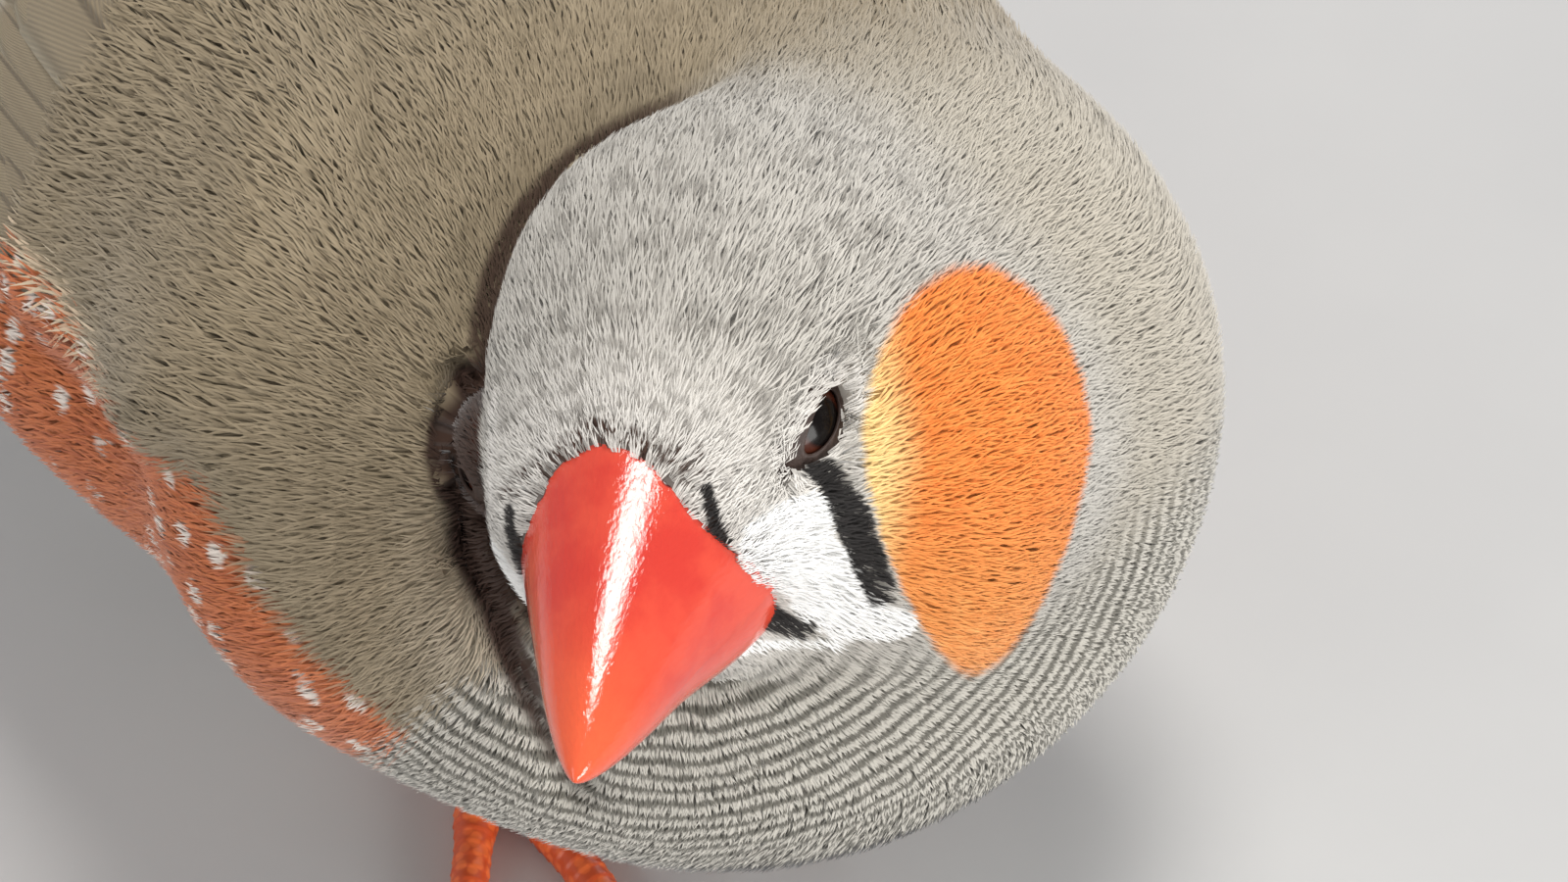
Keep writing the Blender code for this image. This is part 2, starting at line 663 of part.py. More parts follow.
def build():
    """The whole bird."""
    for thing in list(bpy.data.objects):
        bpy.data.objects.remove(thing)
    parts = collection(BIRD)
    scratch = collection("guides")
    neck, torso, tail = trunk(parts, scratch)
    centre = on_trunk((1.0, -2.0, 0.0))
    torso_clear = ball("body_clear", centre, (1.0, 1.7, 1.0), TRUNK_AXES, trunk_field, GAP, scratch, 36, 28)
    for piece in (neck, torso):
        clear = collection("clear")
        ball("head_clear", on_head((-3.0, 0.0, 0.0)), (1.0, 1.0, 1.0), HEAD_AXES, head_field, GAP, clear, 36, 22)
        combine(piece, clear, "DIFFERENCE")
        keep_largest(piece)
    feathers = collection("feathers")
    tail_feathers(feathers)
    combine(tail, feathers, "UNION", "MANIFOLD")
    keep_largest(tail)
    skull, eye_left, eye_right = head(parts)
    bill_upper, bill_lower = bill(parts)
    finishes = {
        neck: "grey_plumage",
        torso: "pale_plumage",
        tail: "tail_plumage",
        skull: "grey_plumage",
        eye_left: "eye_gloss",
        eye_right: "eye_gloss",
        bill_upper: "bill_horn",
        bill_lower: "bill_horn",
    }
    for side, label in ((1.0, "left"), (-1.0, "right")):
        finishes[wing(side, parts)] = "brown_plumage"
        thigh, shank, foot = leg(side, label, torso_clear, parts)
        finishes[thigh] = "pale_plumage"
        finishes[shank] = "leg_skin"
        finishes[foot] = "leg_skin"
    for guide in list(scratch.objects):
        bpy.data.objects.remove(guide)
    bpy.data.collections.remove(scratch)
    corners = np.array([v.co for piece in finishes for v in piece.data.vertices])
    low, high = corners.min(0), corners.max(0)
    home = Vector((-(low[0] + high[0]) / 2.0, -(low[1] + high[1]) / 2.0, -low[2]))
    for piece, finish in finishes.items():
        piece.data.transform(Matrix.Scale(MM, 4) @ Matrix.Translation(home))
        dress(piece, finish)


build()
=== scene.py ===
# %% [markdown]
# # A dozing zebra finch, life size
#
# The bird is a male zebra finch that rests on both feet with its feathers fluffed and
# its head turned to its right. The solids of the model come first, as a fixed frame.
# Every visible piece is then fitted over them: one skin, the coat of feather tufts,
# the vanes of wings and tail, the bill, the eyes with their lids, and the legs.
# Sizes are thought of in millimetres of the bird and turned to metres at the end.

# %% Load the frame
import bpy
import math
import numpy as np
from mathutils import Matrix, Vector


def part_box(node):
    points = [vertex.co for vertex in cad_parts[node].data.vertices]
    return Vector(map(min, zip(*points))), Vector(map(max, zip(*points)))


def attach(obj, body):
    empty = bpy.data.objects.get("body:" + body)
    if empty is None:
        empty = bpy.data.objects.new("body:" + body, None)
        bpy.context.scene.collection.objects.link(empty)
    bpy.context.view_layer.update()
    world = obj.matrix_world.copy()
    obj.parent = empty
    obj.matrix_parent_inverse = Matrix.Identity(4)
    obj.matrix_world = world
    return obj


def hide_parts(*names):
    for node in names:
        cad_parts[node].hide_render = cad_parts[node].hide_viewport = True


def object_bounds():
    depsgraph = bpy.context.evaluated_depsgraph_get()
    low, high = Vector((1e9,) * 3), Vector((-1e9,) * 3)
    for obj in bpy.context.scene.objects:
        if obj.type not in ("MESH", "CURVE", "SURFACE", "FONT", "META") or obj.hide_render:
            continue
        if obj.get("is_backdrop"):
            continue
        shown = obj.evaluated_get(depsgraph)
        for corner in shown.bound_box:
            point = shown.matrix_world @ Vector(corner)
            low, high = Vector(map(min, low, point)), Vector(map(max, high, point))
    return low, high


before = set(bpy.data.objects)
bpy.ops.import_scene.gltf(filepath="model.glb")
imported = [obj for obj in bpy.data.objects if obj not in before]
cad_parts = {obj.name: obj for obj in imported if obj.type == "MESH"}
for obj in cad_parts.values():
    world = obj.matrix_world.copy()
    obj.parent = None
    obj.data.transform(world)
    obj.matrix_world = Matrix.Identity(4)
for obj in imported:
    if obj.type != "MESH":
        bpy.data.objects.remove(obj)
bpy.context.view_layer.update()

# %% [markdown]
# ## The body's form
#
# A bird's outline is that of its feathers, not of its flesh. It is described here as
# a few ellipsoids that run softly together, the same that the solids were made from.
# A function says how far any point is outside that form, so that skin, tufts and
# vanes can all be laid at a chosen depth below or above it.

# %% Axes of the trunk and the head
MM = 0.001
TRUNK_CENTRE = np.array((0.0, 0.0, 24.0))
TRUNK_PITCH = 5.0
HEAD_CENTRE = np.array((-5.2, -21.7, 32.7))
HEAD_TURN = 51.0
HEAD_LIFT = 16.0
HEAD_TILT = 18.0
EYE_RIGHT = np.array((-0.24546034, 0.93600367, -0.25228227))
EYE_DOWN = np.array((0.49525898, -0.10263603, -0.86266123))
EYE_AHEAD = np.array((-0.83334733, -0.33669418, -0.43837115))


def unit(v):
    """Vectors at length one."""
    v = np.asarray(v, float)
    return v / np.maximum(np.linalg.norm(v, axis=-1, keepdims=True), 1e-12)


def turned_axes(turn, lift, tilt):
    """Axes as columns forwards, left, up, for a head that is turned, lifted and tilted."""
    turn, lift, tilt = (math.radians(a) for a in (turn, lift, tilt))
    level = np.array([-math.sin(turn), -math.cos(turn), 0.0])
    forwards = level * math.cos(lift) + np.array([0.0, 0.0, math.sin(lift)])
    left = unit(np.cross([0.0, 0.0, 1.0], forwards))
    up = np.cross(forwards, left)
    tilted_left = left * math.cos(tilt) + up * math.sin(tilt)
    return np.stack([forwards, tilted_left, np.cross(forwards, tilted_left)], 1)


def pitched_axes(pitch):
    """Axes as columns across, towards the tail, up, for a trunk with its front raised."""
    p = math.radians(pitch)
    return np.array([[1, 0, 0], [0, math.cos(p), math.sin(p)], [0, -math.sin(p), math.cos(p)]])


TRUNK_AXES = pitched_axes(TRUNK_PITCH)
HEAD_AXES = turned_axes(HEAD_TURN, HEAD_LIFT, HEAD_TILT)


def on_trunk(p):
    """Place in the bird of a point in the trunk's axes."""
    return TRUNK_CENTRE + np.asarray(p, float) @ TRUNK_AXES.T


def on_head(p):
    """Place in the bird of a point in the head's axes."""
    return HEAD_CENTRE + np.asarray(p, float) @ HEAD_AXES.T


def in_trunk(p):
    """A point of the bird in the trunk's axes: across, towards the tail, up."""
    return (p - TRUNK_CENTRE) @ TRUNK_AXES


def in_head(p):
    """A point of the bird in the head's axes: forwards, left, up."""
    return (p - HEAD_CENTRE) @ HEAD_AXES


EYE_CENTRE = np.array((2.05, 4.65, 1.9))
SIDES = ((1.0, "left"), (-1.0, "right"))


def eye_middle(side):
    """Place in the bird of the left eye's middle for side 1, of the right one's for -1."""
    mirrored = EYE_CENTRE * (1.0, side, 1.0)
    return on_head(mirrored)


eye_low, eye_high = (np.array(c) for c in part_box("eye_left"))
SHIFT = (eye_low + eye_high) / 2.0 / MM - eye_middle(1.0)


def in_row(p):
    """The bird's millimetres as the frame's metres."""
    return (np.asarray(p, float) + SHIFT) * MM


print("the frame's origin lies at", np.round(-SHIFT, 2), "mm in the bird")

# %% How far a point is outside the feathered form
TRUNK_FORMS = (
    ((0.0, 1.5, 0.0), (14.6, 26.0, 15.0)),
    ((0.0, -10.2, -0.3), (18.8, 14.2, 15.4)),
    ((0.0, 5.7, -3.6), (17.3, 21.4, 10.1)),
    ((0.0, 20.0, 2.5), (9.0, 16.0, 8.0)),
)
NECK_FORM = ((3.2, -17.6, -2.0), (16.9, 12.6, 15.9))
HEAD_FORMS = (
    ((-4.5, 0.8, 0.7), (10.3, 10.3, 10.3)),
    ((1.2, 0.0, -0.2), (7.1, 6.7, 7.2)),
    ((-4.2, 6.4, -3.2), (8.0, 7.0, 7.5)),
    ((-4.2, -4.6, -3.0), (8.0, 7.0, 7.5)),
)
THIGH_CENTRE = (6.0, 3.0, 9.6)
THIGH_RADII = (3.6, 4.4, 4.6)
TRUNK_BLEND = 4.0
NECK_BLEND = 5.0
HEAD_BLEND = 2.5
THROAT_BLEND = 3.4
CREASE_BLEND = 0.4
THIGH_BLEND = 2.0


def ellipsoid(p, centre, radii, axes):
    """About how far points are outside an ellipsoid."""
    q = (p - centre) @ axes
    scaled = np.linalg.norm(q / radii, axis=-1)
    steep = np.linalg.norm(q / np.square(radii), axis=-1)
    return scaled * (scaled - 1.0) / np.maximum(steep, 1e-9)


def soft_min(a, b, blend):
    """The smaller of two distances, rounded where they are alike."""
    h = np.clip(0.5 + 0.5 * (b - a) / blend, 0.0, 1.0)
    return b + (a - b) * h - blend * h * (1.0 - h)


def joined_forms(p, forms, place, axes, blend):
    """How far points are outside several ellipsoids that run together."""
    found = None
    for centre, radii in forms:
        d = ellipsoid(p, place(centre), np.array(radii), axes)
        found = d if found is None else soft_min(found, d, blend)
    return found


def trunk_field(p):
    """How far points are outside the trunk with its neck."""
    trunk = joined_forms(p, TRUNK_FORMS, on_trunk, TRUNK_AXES, TRUNK_BLEND)
    neck = ellipsoid(p, on_trunk(NECK_FORM[0]), np.array(NECK_FORM[1]), TRUNK_AXES)
    return soft_min(trunk, neck, NECK_BLEND)


def head_field(p):
    """How far points are outside the feathered head."""
    return joined_forms(p, HEAD_FORMS, on_head, HEAD_AXES, HEAD_BLEND)


def smooth_step(x, low, high):
    """0 below low, 1 above high, and a smooth rise between them."""
    t = np.clip((x - low) / (high - low), 0.0, 1.0)
    return t * t * (3.0 - 2.0 * t)


def creased(p):
    """1 on the head's right side, where it stands clear of the body, and 0 where they merge."""
    q = in_head(p)
    return smooth_step(-q[..., 1], -4.5, 1.5) * smooth_step(q[..., 2], -10.0, -5.0)


def body_field(p):
    """How far points are outside the whole feathered bird."""
    blend = THROAT_BLEND + (CREASE_BLEND - THROAT_BLEND) * creased(p)
    whole = soft_min(trunk_field(p), head_field(p), blend)
    for side in (1.0, -1.0):
        centre = np.array(THIGH_CENTRE) * (side, 1.0, 1.0)
        thigh = ellipsoid(p, centre, np.array(THIGH_RADII), np.eye(3))
        whole = soft_min(whole, thigh, THIGH_BLEND)
    return whole


# %% [markdown]
# The turned head presses on the right shoulder, and a crease parts them. It is carved
# into the coat, and its dark brown is painted shade over the dark bases of the feathers.
# Around each eye the coat is thin, so its surface dips towards the lids.

# %% The crease beside the head and the dip round the eye
CREASE_DEPTH = 1.3
CREASE_WIDTH = 0.75
CREASE_LINE = (
    (0.8, -6.6, 4.6), (3.8, -6.6, 2.7), (3.6, -7.4, -0.9), (3.8, -6.9, -2.8),
    (4.2, -6.7, -4.7), (4.4, -6.4, -6.6), (4.2, -6.2, -8.6), (3.5, -6.1, -10.7),
)
CREASE_VIEW = np.stack([EYE_RIGHT, EYE_DOWN, EYE_AHEAD * 0.3], 1)
EYE_RADIUS = 2.4
EYE_OUTWARD = np.array((0.42, 0.89, 0.16))
LID_SLANT = -24.0
SLIT = np.array((1.32, 0.56))
EYE_DIP = 0.45
LID_HEIGHT = 0.34
BILL_EDGE = (((7.0, 3.4, 1.4), 0.75, 1.9), ((6.6, 4.0, -3.3), -0.8, 1.1))


def from_line(p, knots):
    """How far points are from a line through knots."""
    best = np.full(p.shape[:-1], 99.0)
    for a, b in zip(knots, knots[1:]):
        way = b - a
        t = np.clip(((p - a) @ way) / (way @ way), 0.0, 1.0)
        best = np.minimum(best, np.linalg.norm(p - a - t[..., None] * way, axis=-1))
    return best


def crease(p):
    """1 in the crease where the head's right side and crown meet the trunk."""
    gap = head_field(p) - trunk_field(p)
    between = np.exp(-np.square(gap / CREASE_WIDTH)) * creased(p)
    beside = from_line(in_head(p) @ CREASE_VIEW, np.array(CREASE_LINE) @ CREASE_VIEW)
    return np.maximum(between, np.exp(-np.square(beside / CREASE_WIDTH)))


def painted_crease_shade(p):
    """Painted shade of the crease: a thin line round the crown, strong beside the bill and far eye."""
    q = in_head(p)
    gap = head_field(p) - trunk_field(p)
    line = smooth_step(gap, -0.5, 0.0) * (1.0 - smooth_step(gap, 0.5, 0.8)) * creased(p)
    deep = crease(p) * (1.0 - smooth_step(q[..., 2], 4.0, 6.0))
    from_eye = np.linalg.norm(q - EYE_CENTRE * (1.0, -1.0, 1.0), axis=-1)
    far_eye = (1.0 - smooth_step(from_eye, 3.2, 4.0)) * smooth_step(-q[..., 1], 4.8, 6.0)
    return np.maximum(np.maximum(deep, far_eye), 0.65 * line)


def head_tone(p):
    """1 on the head's own surface and 0 on the trunk's, soft where they merge."""
    soft = 0.4 + 1.6 * (1.0 - creased(p))
    return smooth_step((trunk_field(p) - head_field(p)) / soft, -1.0, 1.0)


def bill_edge(p):
    """How much the coat comes forwards over the bill before the eye, and back at the gape."""
    q = in_head(p)
    q = np.stack([q[..., 0], np.abs(q[..., 1]), q[..., 2]], -1)
    forwards = 0.0
    for centre, height, wide in BILL_EDGE:
        forwards = forwards + height * np.exp(-np.square(np.linalg.norm(q - centre, axis=-1) / wide))
    return forwards


def lid_ball(p):
    """How far points are outside the nearer eye's lids, which bulge over the ball."""
    places = [eye_middle(side) for side in (1.0, -1.0)]
    return np.minimum(*(np.linalg.norm(p - c, axis=-1) for c in places)) - EYE_RADIUS - LID_HEIGHT


def lid_frame(side):
    """Axes of an eye in the bird: along the slit, across it, outwards."""
    outward = unit(EYE_OUTWARD * (1.0, side, 1.0))
    slant = math.radians(LID_SLANT)
    slit = np.array([math.cos(slant), 0.0, math.sin(slant)])
    slit = unit(slit - outward * (slit @ outward))
    return HEAD_AXES @ np.stack([slit, np.cross(outward, slit), outward], 1)


def around_eye(p):
    """How far points are from the nearer eye's slit, as a share of it, and the way out."""
    best, ways = np.full(len(p), 99.0), np.zeros((len(p), 3))
    for side in (1.0, -1.0):
        axes = lid_frame(side)
        q = (p - eye_middle(side)) @ axes
        share = np.hypot(q[:, 0] / SLIT[0], q[:, 1] / SLIT[1])
        share = np.where((q[:, 2] > 0.0) & (q[:, 2] < 3.0), share, 99.0)
        out = np.stack([q[:, 0] / SLIT[0] ** 2, q[:, 1] / SLIT[1] ** 2, np.zeros(len(p))], 1)
        out = unit(out) @ axes.T
        ways = np.where((share < best)[:, None], out, ways)
        best = np.minimum(share, best)
    return best, ways


# %% [markdown]
# The front of a folded wing is hidden: the feathers of the shoulder lie over it, so
# the body looks smooth down to the flank. The coat is therefore lifted over the
# wing's front, by the thickness of the wing, with soft edges.

# %% The coat's lift over the shoulder
WING_LOWER_EDGE = ((-9.0, 20.0), (-5.0, 10.0), (4.0, 7.0), (14.0, 12.0), (27.0, 31.0))
WING_UPPER_EDGE = ((-9.0, 42.0), (-5.0, 56.0), (6.0, 64.0), (18.0, 68.0), (27.0, 66.0))
SHOULDER_LIFT = 1.7
SHOULDER_FRONT = (-15.0, -7.0)
SHOULDER_BACK = (5.0, 11.0)


def table(knots, at):
    """A value read from knots, straight between them."""
    return np.interp(at, [k[0] for k in knots], [k[1] for k in knots])


def along_and_angle(p):
    """How far along the trunk a point is, and its angle up from the side in degrees."""
    q = in_trunk(p)
    return q[..., 1], np.degrees(np.arctan2(q[..., 2], np.abs(q[..., 0])))


def shoulder_lift(p):
    """How much the coat stands higher over the front of the folded wing."""
    along, angle = along_and_angle(p)
    low, high = table(WING_LOWER_EDGE, along), table(WING_UPPER_EDGE, along)
    over = smooth_step(angle, low - 8.0, low + 4.0)
    over = over * (1.0 - smooth_step(angle, high - 4.0, high + 14.0))
    ends = smooth_step(along, *SHOULDER_FRONT) * (1.0 - smooth_step(along, *SHOULDER_BACK))
    return SHOULDER_LIFT * over * ends


def coat_field(p):
    """How far points are outside the coat, with its lift, crease, dips and lids."""
    dip = EYE_DIP * (1.0 - smooth_step(around_eye(p)[0], 0.9, 3.2))
    coat = body_field(p) - shoulder_lift(p) - bill_edge(p) + CREASE_DEPTH * crease(p) + dip
    return soft_min(coat, lid_ball(p), 0.5)


def slope(field, p, step=0.05):
    """The field at points and the unit direction in which it grows."""
    base = field(p)
    ways = [field(p + step * np.eye(3)[i]) - base for i in range(3)]
    return base, unit(np.stack(ways, -1))


def settle(p, field, level, rounds=3):
    """Points moved along the slope until the field has the level asked for."""
    for _ in range(rounds):
        value, out = slope(field, p)
        p = p - out * (value - level)[..., None]
    return p


print("form at the crown", round(float(body_field(on_head((0.0, 0.0, 12.0)))), 2), "mm")

# %% [markdown]
# ## Camera, floor and light
#
# The photograph looks down on the bird from its front right with a long lens, so the
# camera stands about a quarter of a metre away. A key light above it draws the bright
# streak on the bill, and a large fill from the lower right keeps the shadows open. A
# weak lamp from the left lightens the far side, and one above and behind the bird draws
# its upper edge. The floor is plain and pale.

# %% Camera
CAMERA_OFFSET = np.array((-3.6416, 0.4834, 256.9719))
SENSOR = 36.0
PIXELS_PER_MM = 29.0178
IMAGE_WIDTH = 1600.0

view_axes = HEAD_AXES @ np.stack([EYE_RIGHT, EYE_DOWN, EYE_AHEAD], 1)
camera_place = on_head((0.0, 0.0, 0.0)) - view_axes @ CAMERA_OFFSET
camera_data = bpy.data.cameras.new("portrait camera")
camera_data.lens = PIXELS_PER_MM * CAMERA_OFFSET[2] / IMAGE_WIDTH * SENSOR
camera_data.sensor_width = SENSOR
camera_data.clip_start = 0.01
camera = bpy.data.objects.new("portrait camera", camera_data)
bpy.context.scene.collection.objects.link(camera)
turned = np.stack([view_axes[:, 0], -view_axes[:, 1], -view_axes[:, 2]], 1)
camera.matrix_world = Matrix.Translation(in_row(camera_place)) @ Matrix(turned.tolist()).to_4x4()
bpy.context.scene.camera = camera
bpy.context.scene.view_settings.view_transform = "Standard"
print("camera at", np.round(in_row(camera_place), 3), "m, lens", round(camera_data.lens, 1), "mm")

# %% Helpers for objects
def deselect():
    """Nothing selected, so that an operator acts only on what comes next."""
    if bpy.context.object and bpy.context.object.mode != "OBJECT":
        bpy.ops.object.mode_set(mode="OBJECT")
    bpy.ops.object.select_all(action="DESELECT")


def pick(*things):
    """These objects selected, the first one active."""
    deselect()
    for thing in things:
        thing.select_set(True)
    bpy.context.view_layer.objects.active = things[0]


def drawn_points(thing):
    """An object's points as they were drawn."""
    return np.array([v.co for v in thing.data.vertices])


def lay_points(thing, points):
    """Moves an object's points to places in the bird."""
    thing.data.vertices.foreach_set("co", in_row(points).ravel())


def add_node(tree, kind, sockets=None, **settings):
    """A node with its settings, its sockets linked or given values."""
    made = tree.nodes.new(kind)
    for name, value in settings.items():
        setattr(made, name, value)
    for key, value in (sockets or {}).items():
        if isinstance(value, bpy.types.NodeSocket):
            tree.links.new(value, made.inputs[key])
        else:
            made.inputs[key].default_value = value
    return made


def maths(tree, operation, *values):
    """The result of a Math node."""
    return add_node(tree, "ShaderNodeMath", dict(enumerate(values)), operation=operation).outputs[0]


def vector_maths(tree, operation, *values):
    """The result of a Vector Math node, a number where the operation gives one."""
    made = add_node(tree, "ShaderNodeVectorMath", dict(enumerate(values)), operation=operation)
    return made.outputs[1 if operation in ("DOT_PRODUCT", "LENGTH", "DISTANCE") else 0]


def ramp(tree, value, low, high):
    """0 where the value is below low, 1 where it is above high, and a smooth rise between."""
    sockets = {"Value": value, "From Min": low, "From Max": high}
    return add_node(tree, "ShaderNodeMapRange", sockets, interpolation_type="SMOOTHSTEP").outputs[0]


def fall(tree, value, low, high):
    """1 where the value is below low and 0 where it is above high."""
    return maths(tree, "SUBTRACT", 1.0, ramp(tree, value, low, high))


def times(tree, product, *others):
    """Several values multiplied."""
    for other in others:
        product = maths(tree, "MULTIPLY", product, other)
    return product


def mix(tree, factor, a, b, blend="MIX"):
    """Two colours mixed."""
    a = (*a, 1.0) if isinstance(a, tuple) else a
    b = (*b, 1.0) if isinstance(b, tuple) else b
    made = add_node(tree, "ShaderNodeMix", {0: factor, 6: a, 7: b}, data_type="RGBA", blend_type=blend)
    return made.outputs[2]


def attribute(tree, name):
    """A vector that the mesh carries under this name."""
    settings = {"attribute_name": name, "attribute_type": "GEOMETRY"}
    return add_node(tree, "ShaderNodeAttribute", **settings).outputs["Vector"]


def split(tree, vector):
    """The three numbers of a vector."""
    return add_node(tree, "ShaderNodeSeparateXYZ", {0: vector}).outputs


def noise(tree, place, scale, detail):
    """A cloudy value from 0 to 1."""
    sockets = {"Vector": place, "Scale": scale, "Detail": detail}
    return add_node(tree, "ShaderNodeTexNoise", sockets).outputs[0]


def object_place(tree):
    """A point's place in its own object, in metres."""
    return add_node(tree, "ShaderNodeTexCoord").outputs["Object"]


def add_relief(tree, shader, height, strength, depth):
    """Fine relief that the shader draws from a value."""
    sockets = {"Height": height, "Strength": strength, "Distance": depth}
    tree.links.new(add_node(tree, "ShaderNodeBump", sockets).outputs[0], shader.inputs["Normal"])


def new_group(name, inputs, outputs):
    """A shader node group with named sockets, each with its kind."""
    made = bpy.data.node_groups.new(name, "ShaderNodeTree")
    kinds = {"vector": "NodeSocketVector", "value": "NodeSocketFloat", "colour": "NodeSocketColor"}
    for way, sockets in (("INPUT", inputs), ("OUTPUT", outputs)):
        for socket, kind in sockets.items():
            made.interface.new_socket(socket, in_out=way, socket_type=kinds[kind])
    start = made.nodes.new("NodeGroupInput").outputs
    end = made.nodes.new("NodeGroupOutput").inputs
    return made, start, end


def use_group(tree, group, sockets):
    """The first result of a group that is placed in a tree."""
    return add_node(tree, "ShaderNodeGroup", sockets, node_tree=group).outputs[0]


def new_material(name, roughness, **constants):
    """A material with its Principled shader's plain values set."""
    made = bpy.data.materials.new(name)
    made.use_nodes = True
    shader = made.node_tree.nodes["Principled BSDF"]
    shader.inputs["Roughness"].default_value = roughness
    for key, value in constants.items():
        shader.inputs[key.replace("_", " ")].default_value = value
    return made, made.node_tree, shader


def colour(*screen):
    """A screen colour, red, green and blue from 0 to 255, as linear light."""
    return tuple(((c / 255.0 + 0.055) / 1.055) ** 2.4 if c > 10 else c / 3294.6 for c in screen)


print("helpers are ready")

# %% Floor and lights
FLOOR_DARK = (0.50, 0.50, 0.50)
FLOOR_PALE = (0.56, 0.56, 0.555)

deselect()
bpy.ops.mesh.primitive_plane_add(size=6.0, location=(0.0, 0.0, 0.0))
floor = bpy.context.object
floor.name = "floor"
floor_paint, tree, shader = new_material("pale floor", 0.8)
grain = noise(tree, object_place(tree), 60.0, 4.0)
tree.links.new(mix(tree, grain, FLOOR_DARK, FLOOR_PALE), shader.inputs["Base Color"])
floor.data.materials.append(floor_paint)
floor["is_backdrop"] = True


def area_light(name, place, aim, size, power, tone=(1.0, 1.0, 1.0)):
    """A square lamp at a place that shines at a point, both in metres."""
    data = bpy.data.lights.new(name, "AREA")
    data.size = size
    data.energy = power
    data.color = tone
    lamp = bpy.data.objects.new(name, data)
    bpy.context.scene.collection.objects.link(lamp)
    lamp.location = place
    lamp.rotation_euler = (aim - place).to_track_quat("-Z", "Y").to_euler()


aim = Vector(in_row(HEAD_CENTRE))
right, down, ahead = (Vector(view_axes[:, i]) for i in range(3))
area_light("key", aim - ahead * 0.26 - down * 0.31 + right * 0.04, aim, 0.14, 1.25, (1.0, 0.97, 0.93))
area_light("fill", aim - ahead * 0.26 + right * 0.36 + down * 0.20, aim, 0.26, 2.5, (1.0, 0.98, 0.95))
area_light("side", aim - ahead * 0.22 - right * 0.30 + down * 0.05, aim, 0.22, 0.45, (1.0, 0.97, 0.93))
area_light("rim", aim + ahead * 0.20 - down * 0.55 + right * 0.2, aim, 0.3, 0.5)
world = bpy.data.worlds.new("studio")
bpy.context.scene.world = world
world.use_nodes = True
world.node_tree.nodes["Background"].inputs["Color"].default_value = (0.86, 0.88, 0.92, 1.0)
world.node_tree.nodes["Background"].inputs["Strength"].default_value = 0.46

# %% [markdown]
# ## The markings
#
# A male zebra finch is told by its markings: an orange cheek, a white band and two
# black lines between bill and cheek, a throat with fine black bars, chestnut flanks
# with white spots, a brown back and a white belly. Skin and coat share them, so they
# are one node group. The group also paints shade: dark brown in the crease and round
# the far eye, and darker roots of the barbs. It reads two places that every mesh
# carries: where a point is in the head's axes, for the sharp marks of the face, and
# where its tuft is rooted in the trunk's axes, for the soft changes of the body. Lines
# are drawn as strokes, each the distance from a short straight line.

# %% A stroke as a mask
stroke, start, end = new_group(
    "stroke",
    {"Place": "vector", "Start": "vector", "End": "vector", "Width": "value", "Edge": "value"},
    {"Mask": "value"},
)
way = vector_maths(stroke, "SUBTRACT", start["End"], start["Start"])
reach = vector_maths(stroke, "SUBTRACT", start["Place"], start["Start"])
gone = vector_maths(stroke, "DOT_PRODUCT", reach, way)
whole = vector_maths(stroke, "DOT_PRODUCT", way, way)
share = maths(stroke, "DIVIDE", gone, whole)
share = maths(stroke, "MINIMUM", maths(stroke, "MAXIMUM", share, 0.0), 1.0)
nearest = add_node(stroke, "ShaderNodeVectorMath", {0: way}, operation="SCALE")
stroke.links.new(share, nearest.inputs["Scale"])
distance = vector_maths(stroke, "DISTANCE", reach, nearest.outputs[0])
inner = maths(stroke, "SUBTRACT", start["Width"], start["Edge"])
outer = maths(stroke, "ADD", start["Width"], start["Edge"])
stroke.links.new(fall(stroke, distance, inner, outer), end["Mask"])


def draw_stroke(tree, place, a, b, width, edge):
    """The mask of a stroke from a to b."""
    sockets = {"Place": place, "Start": a, "End": b, "Width": width, "Edge": edge}
    return use_group(tree, stroke, sockets)


print("stroke group has", len(stroke.nodes), "nodes")

# %% Colours of the plumage
CROWN_GREY = colour(189, 185, 177)
CROWN_FLECK = colour(118, 113, 106)
NECK_GREY = colour(184, 177, 163)
MANTLE_BROWN = colour(152, 137, 112)
MANTLE_DARK = colour(134, 120, 96)
CHEEK_ORANGE = colour(240, 142, 66)
CHEEK_DEEP = colour(232, 124, 50)
CHEEK_LOW = colour(246, 172, 98)
CHEEK_YELLOW = colour(252, 212, 142)
FACE_WHITE = colour(254, 254, 252)
FACE_PALE = colour(228, 224, 218)
FACE_BLACK = colour(30, 27, 26)
BAR_DARK = colour(110, 107, 98)
BAR_PALE = colour(198, 194, 184)
FLANK_CHESTNUT = colour(206, 116, 66)
FLANK_DARK = colour(172, 88, 48)
WING_EDGE_PALE = colour(222, 206, 176)
BELLY_WHITE = colour(240, 234, 224)
# Dark brown for the crease, where it is painted shade over dark feather bases, and for the forehead bristles.
CREASE_BROWN = colour(62, 42, 32)
BAR_PERIOD = 0.84
CHIN = (3.0, 0.0, -1.5)

markings_and_shade, start, end = new_group(
    "finch markings",
    {"Face": "vector", "Root": "vector", "Strand": "vector", "Fold": "vector"},
    {"Color": "colour"},
)
fold, face, root, strand = (split(markings_and_shade, start[name]) for name in ("Fold", "Face", "Root", "Strand"))
left_place = add_node(
    markings_and_shade, "ShaderNodeCombineXYZ", {0: face[0], 1: maths(markings_and_shade, "ABSOLUTE", face[1]), 2: face[2]}
).outputs[0]
mild = noise(markings_and_shade, start["Root"], 0.22, 3.0)
tone = maths(markings_and_shade, "MULTIPLY_ADD", strand[1], 0.5, times(markings_and_shade, strand[2], 0.5))

